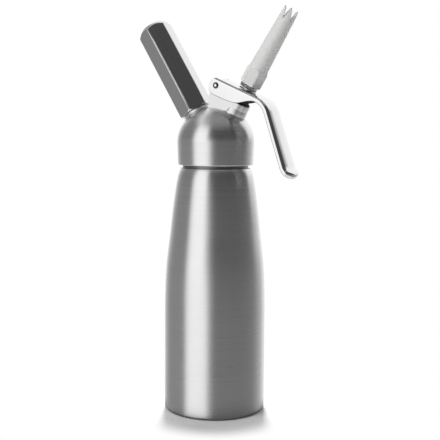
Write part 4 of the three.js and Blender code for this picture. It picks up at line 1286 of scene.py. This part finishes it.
class MakeNozzle(bpy.types.Operator):
    """Makes the milky star nozzle"""

    bl_idname = "dispenser.nozzle"
    bl_label = "Nozzle"

    def execute(self, context):
        size = context.scene.nozzle_sizes
        stem = stem_bore()
        bottom, top = size.bottom, size.bottom + size.length
        socket = extent("valve_stem", NOZZLE_LINE).high + MM
        gasket = extent("nozzle_gasket", NOZZLE_LINE)
        recess, recess_top = gasket.outer + FIT_GAP, gasket.high + FIT_GAP
        collar_top = bottom + size.collar_height
        corner = corner_radius(size.collar_width)
        bevel = size.collar_bevel
        slope = 2 * bevel / (corner - size.base_radius)
        level = top - size.notch_depth - MM
        lead = NOZZLE_LEAD

        def side(at):
            return hexagon(size.collar_width, at, COLLAR_EDGE, size.collar_turn)

        def shoulder(at):
            return collar_top - (side(at) - size.base_radius) * slope

        def ledge(share):
            def place(at):
                return (side(at) + (size.base_radius - side(at)) * share,
                        shoulder(at) + (collar_top - shoulder(at)) * share)
            return place

        def outer(height):
            share = max(0, (height - collar_top) / (top - collar_top))
            return size.base_radius + (size.tip_radius - size.base_radius) * share

        def inner(height):
            share = (height - socket - size.wall) / (top - socket - size.wall)
            return size.base_radius - size.wall + (size.tip_radius - size.base_radius) * share

        def crown(at, radius, drop):
            sector = FULL_TURN / size.prongs
            off = (at - math.pi / 2 + sector / 2) % sector - sector / 2
            across = radius * abs(math.sin(off))
            share = min(1, across / (size.notch_width / 2))
            return top - drop - size.notch_depth * (1 - share)

        def crown_row(radius_of, drop, inset):
            def row(at):
                height = crown(at, radius_of(top), drop)
                return radius_of(height) + inset, height
            return row

        rows = rounded([
            (0, socket, 0), (stem, socket, BROAD_EDGE), (stem, recess_top, FINE_EDGE),
            (recess, recess_top, FINE_EDGE), (recess, bottom, EDGE), (corner - 1.2 * bevel, bottom, 0)])
        rows += [
            lambda at: (min(side(at), corner - bevel / 2) - lead, bottom),
            lambda at: (side(at), bottom + max(lead, side(at) - corner + bevel / 2)),
            lambda at: (side(at), shoulder(at) - 1.5 * lead),
            lambda at: (side(at) - 0.2 * lead, shoulder(at) - 0.3 * lead),
            ledge(0.2), ledge(0.9), ledge(1),
        ]
        start = collar_top + lead
        for step in range(TUBE_STEPS + 1):
            height = start + (level - start) * step / TUBE_STEPS
            rows.append((outer(height), height))
        rows += [crown_row(outer, lead, 0), crown_row(outer, 0.3 * lead, -0.3 * lead),
                 crown_row(outer, 0, -1.2 * lead), crown_row(inner, 0, 1.2 * lead),
                 crown_row(inner, 0.3 * lead, 0.3 * lead), crown_row(inner, lead, 0)]
        rows += [(inner(height), height) for height in
                 (level, (level + socket) / 2, socket + 2 * size.wall)]
        rows += [(stem + EDGE, socket + 1.3 * size.wall), (0, socket + size.wall)]
        add_piece("nozzle_body", revolved(rows, NOZZLE_SIDES), "nozzle", "nozzle", "milky_plastic",
                  ["milky_plastic"], NOZZLE_LINE)
        return {"FINISHED"}


STEM_LEAD = 1.8 * MM
STEM_THREAD_HEIGHT, STEM_THREAD_WIDTH = 0.4 * MM, 0.8 * MM
STEM_THREAD_BITE = 0.2 * MM
STEM_THREAD_STEPS = 48
STEM_WALL = 1.2 * MM
STEM_PORT_RADIUS = 1.1 * MM
STEM_PORT_RISE = 0.9 * MM
THIMBLE_WALL = 0.8 * MM
FLANGE_HEIGHT, FLANGE_DOME = 1.9 * MM, 2 * MM
NUT_SIDES = 144
COIL_STEPS, COIL_TURNS, WIRE_SIDES = 48, 3, 12


class MakeValve(bpy.types.Operator):
    """Makes the stem, the thimble, the washer, the nuts and the spring"""

    bl_idname = "dispenser.valve"
    bl_label = "Valve"

    def execute(self, context):
        size = context.scene.valve_sizes
        self.make_stem(size)
        self.make_thimble()
        washer = extent("stem_washer", NOZZLE_LINE)
        add_piece("washer", tube(stem_bore(), washer.outer, washer.low, washer.high, THIN_EDGE),
                  "valve", "stem_washer", "turned_steel", ["turned_steel"], NOZZLE_LINE)
        self.make_nut("lock_nut", "stem_nut", size.nut_width, stem_bore(), "turned_steel",
                      "bright_steel")
        self.make_nut("foot_nut", "valve_foot", size.foot_nut_width, size.stud_radius + FIT_GAP,
                      "brass", "turned_brass")
        self.make_spring(size)
        return {"FINISHED"}

    def make_stem(self, size):
        stem = extent("valve_stem", NOZZLE_LINE)
        foot, top = stem.low, stem.high
        seat = extent("valve_seal", NOZZLE_LINE).high + FIT_GAP
        start = extent("stem_washer", NOZZLE_LINE).low
        core = size.stem_radius - STEM_THREAD_HEIGHT
        bore, floor = core - STEM_WALL, seat + STEM_PORT_RISE
        rows = rounded([
            (0, foot, 0), (size.stud_radius, foot, EDGE), (size.stud_radius, seat, SHARP_EDGE),
            (size.stem_radius, seat, FINE_EDGE), (size.stem_radius, start - STEM_LEAD, FINE_EDGE),
            (core, start, FINE_EDGE), (core, top, EDGE), (bore, top, EDGE), (bore, floor, EDGE),
            (0, floor, 0)])
        port = rod(STEM_PORT_RADIUS, -2 * size.stem_radius, 2 * size.stem_radius,
                   Matrix.Translation((0, 0, floor + STEM_PORT_RADIUS)) @ SIDEWAYS)
        add_piece("stem_body", worked(revolved(rows, SMALL_SIDES), [port]), "valve", "valve_stem",
                  "turned_steel", ["turned_steel"], NOZZLE_LINE)
        turns = math.floor((top - start) / STEM_LEAD) - 1
        thread = ridge(core - STEM_THREAD_BITE, size.stem_radius, start, STEM_LEAD, turns,
                       STEM_THREAD_WIDTH, STEM_THREAD_STEPS)
        add_piece("stem_thread", thread, "valve", "valve_stem", "turned_steel", ["turned_steel"],
                  NOZZLE_LINE)

    def make_thimble(self):
        low, high, _, outer = extent("valve_thimble", NOZZLE_LINE)
        bore, skirt = stem_bore(), extent("boss_bush", NOZZLE_LINE).outer
        inside = skirt - THIMBLE_WALL
        flange_top = high - FLANGE_DOME
        flange_bottom = flange_top - FLANGE_HEIGHT
        roof = flange_bottom - FIT_GAP
        rows = rounded([
            (inside, low + MM, 0), (inside, low, FINE_EDGE), (skirt, low, FINE_EDGE),
            (skirt, flange_bottom, FINE_EDGE), (outer, flange_bottom, EDGE),
            (outer, flange_top, 0.7 * MM), ((outer + bore) / 2, (flange_top + 2 * high) / 3, 1.5 * MM),
            (bore, high, EDGE), (bore, roof, FINE_EDGE), (inside, roof, EDGE),
            (inside, low + MM, 0)])
        add_piece("thimble", revolved(rows[:-1], closed=True), "valve", "valve_thimble",
                  "black_plastic", ["black_plastic"], NOZZLE_LINE)

    def make_nut(self, name, node, width, hole, slot, finish):
        low, high, _, _ = extent(node, NOZZLE_LINE)
        soft = THIN_EDGE

        def side(at):
            return hexagon(width, at, EDGE)

        def bevel(at):
            return max(soft, side(at) - corner_radius(width) + 4 * soft)

        rows = [(hole, low + soft), (hole + soft, low),
                lambda at: (side(at) - bevel(at), low), lambda at: (side(at), low + bevel(at)),
                lambda at: (side(at), high - bevel(at)), lambda at: (side(at) - bevel(at), high),
                (hole + soft, high), (hole, high - soft)]
        add_piece(name, revolved(rows, NUT_SIDES, closed=True), "valve", node, slot, [finish],
                  NOZZLE_LINE)

    def make_spring(self, size):
        """The upper coils ride on the valve and slide down inside the lower ones."""
        spring = extent("valve_spring", NOZZLE_LINE)
        inner = extent("valve_stem", NOZZLE_LINE).outer + size.spring_gap
        outer = extent("boss_bush", NOZZLE_LINE).outer - THIMBLE_WALL - size.spring_gap
        wire = (outer - inner - size.spring_gap) / 4
        meeting = (spring.low + spring.high) / 2
        for name, body, bottom, top, middle in (
                ("spring_lower", "head", spring.low, meeting, outer - wire),
                ("spring_upper", "valve", meeting, spring.high, inner + wire)):
            add_piece(name, self.coils(bottom, top, middle, wire), body, "valve_spring",
                      "turned_steel", ["turned_steel"], NOZZLE_LINE)

    def coils(self, low, high, middle, wire):
        """Coils of round wire as a strand that climbs from low to high."""
        total = COIL_STEPS * COIL_TURNS
        rings = []
        for step in range(total + 1):
            at = FULL_TURN * step / COIL_STEPS
            rise = low + wire + (high - low - 2 * wire) * step / total
            ring = []
            for side in range(WIRE_SIDES):
                turn = FULL_TURN * side / WIRE_SIDES
                ring.append(around(middle + wire * math.cos(turn), at, rise + wire * math.sin(turn)))
            rings.append(ring)
        return strand(rings, middle * FULL_TURN / COIL_STEPS, wire / 2)


O_RING_STEPS = 16


class MakeSeals(bpy.types.Operator):
    """Makes the gaskets, the seals and the guide bush"""

    bl_idname = "dispenser.seals"
    bl_label = "Seals and bush"

    def execute(self, context):
        rings = [
            ("mouth_gasket", "head_gasket", UPRIGHT, "head_seat", "red_rubber"),
            ("valve_disc", "valve_seal", NOZZLE_LINE, "valve", "black_rubber"),
            ("nozzle_washer", "nozzle_gasket", NOZZLE_LINE, "nozzle_seat", "black_rubber"),
            ("guide_bush", "boss_bush", NOZZLE_LINE, "head", "white_plastic"),
            ("port_ring", "port_gasket", CHARGER_LINE, "head", "red_rubber"),
            ("gas_sleeve", "check_sleeve", CHARGER_LINE, "head", "black_rubber"),
        ]
        for name, node, line, body, slot in rings:
            low, high, inner, outer = extent(node, line)
            add_piece(name, tube(inner, outer, low, high, FINE_EDGE), body, node, slot, [slot], line)
        low, high, inner, outer = extent("stem_o_ring", NOZZLE_LINE)
        section, middle = (high - low) / 2, (inner + outer) / 2
        rows = []
        for step in range(O_RING_STEPS):
            at = FULL_TURN * step / O_RING_STEPS
            rows.append((middle + section * math.cos(at), (low + high) / 2 + section * math.sin(at)))
        add_piece("stem_ring", revolved(rows, SMALL_SIDES, closed=True), "head", "stem_o_ring",
                  "black_rubber", ["black_rubber"], NOZZLE_LINE)
        return {"FINISHED"}


CHARGER_WALL = 1.5 * MM
CHARGER_NECK = 4.4 * MM
# How high the charger's neck, its shoulder and its domed end are
NECK_RISE, SHOULDER_RISE, END_RISE = 6.2 * MM, 6 * MM, 7.5 * MM
# The piercing pin's flange, shaft and point
FLANGE_THICKNESS = 1.8 * MM
SHAFT_RADIUS, POINT_RADIUS, POINT_LENGTH = 1.1 * MM, 0.75 * MM, 1.6 * MM


class MakeChargerParts(bpy.types.Operator):
    """Makes the charger, the piercing pin and the cap of the check valve"""

    bl_idname = "dispenser.charger"
    bl_label = "Charger and piercing pin"

    def execute(self, context):
        self.make_charger()
        self.make_pin()
        low, high, inner, outer = extent("check_cap", CHARGER_LINE)
        add_piece("check_nut", tube(inner, outer, low, high, FINE_EDGE), "head", "check_cap", "brass",
                  ["turned_brass"], CHARGER_LINE)
        return {"FINISHED"}

    def make_charger(self):
        low, high, hole, radius = extent("charger", CHARGER_LINE)
        wall, neck = CHARGER_WALL, CHARGER_NECK
        shoulder = low + NECK_RISE
        start = shoulder + SHOULDER_RISE
        end = high - END_RISE

        def cap(inset):
            return [((radius - inset) * math.cos(math.radians(at)),
                     end + (END_RISE - inset) * math.sin(math.radians(at))) for at in range(0, 90, 6)]

        rows = [(0, high - wall)] + cap(wall)[::-1]
        rows += rounded([
            (radius - wall, end - MM, 0), (radius - wall, start, 2 * MM),
            (neck - wall, shoulder, 2 * MM), (neck - wall, low + wall, EDGE),
            (hole, low + wall, SHARP_EDGE), (hole, low, SHARP_EDGE), (neck, low, 0.5 * MM),
            (neck, shoulder, 1.5 * MM), (radius, start, 3 * MM), (radius, end - MM, 0)])
        rows += cap(0) + [(0, high)]
        add_piece("charger_bottle", revolved(rows, SMALL_SIDES), "charger", "charger",
                  "charger_steel", ["zinc_steel"], CHARGER_LINE)

    def make_pin(self):
        low, high, bore, flange = extent("piercing_pin", CHARGER_LINE)
        tail = extent("check_cap", CHARGER_LINE).inner - FIT_GAP
        top = extent("port_gasket", CHARGER_LINE).low - FIT_GAP
        bottom = top - FLANGE_THICKNESS
        rows = rounded([
            (bore, low + MM, 0), (bore, low, SHARP_EDGE), (tail, low, FINE_EDGE),
            (tail, bottom, FINE_EDGE), (flange, bottom, FINE_EDGE), (flange, top, FINE_EDGE),
            (SHAFT_RADIUS, top, EDGE), (SHAFT_RADIUS, high - POINT_LENGTH, EDGE),
            (POINT_RADIUS, high, SHARP_EDGE), (bore, high, SHARP_EDGE), (bore, low + MM, 0)])
        add_piece("piercing_needle", revolved(rows[:-1], SMALL_SIDES, closed=True), "head",
                  "piercing_pin", "brass", ["turned_brass"], CHARGER_LINE)


# Stage

def grey(value):
    """A grey or white colour."""
    return value, value, value, 1


# Each pair is an angle from the camera's side, growing to the picture's right, and a brightness.
LOW_ROOM_STOPS = [
    (-180, 1.0), (-162, 0.86), (-146, 0.45), (-124, 0.26), (-76, 0.25), (-67, 0.82), (-59, 1.02),
    (-22, 1.02), (-10, 0.34), (0, 0.15), (50, 0.145), (75, 0.165), (100, 0.21), (130, 0.45),
    (150, 0.82), (180, 1.0),
]
HIGH_ROOM_STOPS = [
    (-180, 1.0), (-162, 1.0), (-146, 0.5), (-124, 0.2), (-76, 0.18), (-67, 0.9), (-59, 1.1),
    (-30, 1.1), (-22, 0.25), (-15, 0.06), (110, 0.06), (122, 0.9), (150, 1.0), (180, 1.0),
]
CEILING = 0.27
CEILING_LEFT = 0.75
UNDERNEATH = 0.8
# Each pair is where one part of the room starts and ends giving way to the next: the Z part of a
# direction from the middle of the room, or its X part for the ceiling's left.
HIGH_WALL_EDGE = (0.03, 0.16)
CEILING_EDGE = (0.7, 0.86)
CEILING_LEFT_EDGE = (-0.5, -0.2)
UNDERNEATH_EDGE = (-0.5, -0.75)
WHITE = grey(1)

# The table's tone and glow in the picture, and what metal mirrors of it: a painted contact shade by the
# foot, a dark table that stands in for the shadow there, which gives way to the room further out
TABLE_TONE = (0.78, 0.82)
TABLE_GLOW = 0.07
PAINTED_CONTACT_SHADE = 0.2
PAINTED_SHADE_EDGE = (44 * MM, 54 * MM)
CLEAR_SHARE = 0.95
TABLE_SIDES = 128
TABLE_DROP = 0.05 * MM
SENSOR_WIDTH = 36


def mixed_shader(tree, share, first, second):
    """A shader between two shaders."""
    made = add_node(tree, "ShaderNodeMixShader", Fac=share)
    tree.links.new(first, made.inputs[1])
    tree.links.new(second, made.inputs[2])
    return made.outputs[0]


def direction(side, up):
    """The direction at an angle to the right of the front and at an angle up."""
    return Vector((math.sin(side) * math.cos(up), -math.cos(side) * math.cos(up), math.sin(up)))


class MakeStage(bpy.types.Operator):
    """Makes the camera, the room's light and the pale table"""

    bl_idname = "dispenser.stage"
    bl_label = "Stage"

    def execute(self, context):
        size = context.scene.stage_sizes
        self.make_camera(context, size)
        self.make_room(context, size)
        self.make_floor(size)
        self.make_lamp("lamp_behind", size, side=180, rise=38, distance=1.1, width=0.26, power=19.0)
        self.make_lamp("lamp_left", size, side=-50, rise=50, distance=1.1, width=0.5, power=2.8)
        context.scene.view_settings.view_transform = "Standard"
        return {"FINISHED"}

    def make_camera(self, context, size):
        camera = bpy.data.cameras.new("photo_camera")
        camera.lens = size.lens
        camera.sensor_width = SENSOR_WIDTH
        camera.shift_x = size.shift
        thing = bpy.data.objects.new("photo_camera", camera)
        context.scene.collection.objects.link(thing)
        thing.location = (size.distance * math.sin(size.azimuth),
                          -size.distance * math.cos(size.azimuth), size.camera_height)
        back = direction(size.azimuth, size.pitch)
        facing = back.to_track_quat("Z", "Y").to_matrix().to_4x4()
        turned = facing @ Matrix.Rotation(size.roll, 4, "Z")
        thing.rotation_euler = turned.to_euler()
        context.scene.camera = thing

    def make_room(self, context, size):
        world = bpy.data.worlds.new("room")
        world.use_nodes = True
        tree = world.node_tree
        tree.nodes.clear()
        place = tree.nodes.new("ShaderNodeTexCoord").outputs["Generated"]
        x, y, z = add_node(tree, "ShaderNodeSeparateXYZ", Vector=place).outputs
        around_z = maths(tree, "ARCTAN2", x, maths(tree, "MULTIPLY", y, -1.0))
        wrapped = maths(tree, "WRAP", maths(tree, "SUBTRACT", around_z, size.azimuth), math.pi, -math.pi)
        position = spread(tree, wrapped, -math.pi, math.pi, 0.0, 1.0)
        ramps = []
        for marks in (LOW_ROOM_STOPS, HIGH_ROOM_STOPS):
            ramp = add_node(tree, "ShaderNodeValToRGB", Fac=position)
            stops = ramp.color_ramp.elements
            stops[0].position, stops[1].position = 0, 1
            for at, light in marks[1:-1]:
                stops.new((at + 180) / 360).color = grey(light)
            stops[0].color = stops[-1].color = WHITE
            ramps.append(ramp.outputs["Color"])
        walls = mixed(tree, eased(tree, z, *HIGH_WALL_EDGE), *ramps)
        low_room = mixed(tree, eased(tree, z, *UNDERNEATH_EDGE), walls, grey(UNDERNEATH))
        ceiling = eased(tree, x, *CEILING_LEFT_EDGE, CEILING_LEFT, CEILING)
        room = mixed(tree, eased(tree, z, *CEILING_EDGE), low_room, ceiling)
        seen = tree.nodes.new("ShaderNodeLightPath").outputs["Is Camera Ray"]
        light = add_node(tree, "ShaderNodeBackground", Color=mixed(tree, seen, room, WHITE),
                         Strength=1.0)
        output = tree.nodes.new("ShaderNodeOutputWorld")
        tree.links.new(light.outputs[0], output.inputs["Surface"])
        context.scene.world = world

    def make_floor(self, size):
        body = bmesh.new()
        bmesh.ops.create_circle(body, cap_ends=True, cap_tris=False, segments=TABLE_SIDES,
                                radius=size.floor_radius)
        table = object_from(body, "table")
        table.location.z = -TABLE_DROP
        material = bpy.data.materials.new("pale_table")
        material.use_nodes = True
        tree = material.node_tree
        tree.nodes.clear()
        place = tree.nodes.new("ShaderNodeTexCoord").outputs["Object"]
        light_path = tree.nodes.new("ShaderNodeLightPath").outputs
        tone = swung(tree, noise(tree, place, scale=30.0), *TABLE_TONE)
        matt = add_node(tree, "ShaderNodeBsdfDiffuse", Color=tone)
        glow = add_node(tree, "ShaderNodeEmission", Color=WHITE, Strength=TABLE_GLOW)
        lit = tree.nodes.new("ShaderNodeAddShader")
        tree.links.new(matt.outputs[0], lit.inputs[0])
        tree.links.new(glow.outputs[0], lit.inputs[1])
        white = add_node(tree, "ShaderNodeEmission", Color=WHITE, Strength=1.0)
        shade_middle = (size.shade_shift * math.sin(size.azimuth),
                        -size.shade_shift * math.cos(size.azimuth), 0)
        reach = vector_length(tree, vector_maths(tree, "SUBTRACT", place, shade_middle))
        faded = mixed_shader(tree, eased(tree, reach, size.shade_start, size.shade_end),
                             lit.outputs[0], white.outputs[0])
        # Painted shade: rays that metal mirrors see a dark table near the foot, in place of its contact
        # shadow.
        painted_contact_shade = add_node(tree, "ShaderNodeBsdfDiffuse", Color=grey(PAINTED_CONTACT_SHADE))
        near = mixed_shader(tree, light_path["Is Glossy Ray"], matt.outputs[0], painted_contact_shade.outputs[0])
        clear = add_node(tree, "ShaderNodeBsdfTransparent", Color=WHITE)
        clearing = spread(tree, vector_length(tree, place), *PAINTED_SHADE_EDGE, 0.0, CLEAR_SHARE)
        gap = maths(tree, "MULTIPLY", light_path["Is Glossy Ray"], clearing)
        mirrored = mixed_shader(tree, gap, near, clear.outputs[0])
        output = tree.nodes.new("ShaderNodeOutputMaterial")
        tree.links.new(mixed_shader(tree, light_path["Is Camera Ray"], mirrored, faded),
                       output.inputs["Surface"])
        table.data.materials.append(material)

    def make_lamp(self, name, size, side, rise, distance, width, power):
        """A soft lamp. Its side is an angle from the camera's side, growing to the right."""
        lamp = bpy.data.lights.new(name, "AREA")
        lamp.shape = "DISK"
        lamp.size = width
        lamp.energy = power
        thing = bpy.data.objects.new(name, lamp)
        bpy.context.scene.collection.objects.link(thing)
        way = direction(size.azimuth + math.radians(side), math.radians(rise))
        thing.location = way * distance
        thing.rotation_euler = way.to_track_quat("Z", "Y").to_euler()
        thing.visible_camera = False
        thing.visible_glossy = False


class DispenserPanel(bpy.types.Panel):
    """Lists the steps that build the dispenser"""

    bl_idname = "VIEW3D_PT_dispenser"
    bl_label = "Whipped cream dispenser"
    bl_space_type = "VIEW_3D"
    bl_region_type = "UI"
    bl_category = "Dispenser"

    def draw(self, context):
        for step in STEPS:
            self.layout.operator(step.bl_idname)


STEPS = [MakeBottle, MakeHead, MakeHolder, MakeLever, MakeNozzle, MakeValve, MakeSeals,
         MakeChargerParts, MakeStage]
SIZES = {
    "bottle_sizes": BottleSizes, "head_sizes": HeadSizes, "holder_sizes": HolderSizes,
    "lever_sizes": LeverSizes, "valve_sizes": ValveSizes, "nozzle_sizes": NozzleSizes,
    "dispenser_finishes": Finishes, "stage_sizes": StageSizes,
}


def register():
    """Registers the sizes, the steps and the panel."""
    for name, group in SIZES.items():
        bpy.utils.register_class(group)
        setattr(bpy.types.Scene, name, bpy.props.PointerProperty(type=group))
    for step in [*STEPS, DispenserPanel]:
        bpy.utils.register_class(step)


def unregister():
    """Takes the panel, the steps and the sizes away again."""
    for step in [DispenserPanel, *reversed(STEPS)]:
        bpy.utils.unregister_class(step)
    for name, group in reversed(SIZES.items()):
        delattr(bpy.types.Scene, name)
        bpy.utils.unregister_class(group)


def main():
    """Builds the whole dispenser and its stage."""
    register()
    bpy.ops.dispenser.bottle()
    bpy.ops.dispenser.head()
    bpy.ops.dispenser.holder()
    bpy.ops.dispenser.lever()
    bpy.ops.dispenser.nozzle()
    bpy.ops.dispenser.valve()
    bpy.ops.dispenser.seals()
    bpy.ops.dispenser.charger()
    bpy.ops.dispenser.stage()


if __name__ == "__main__":
    main()
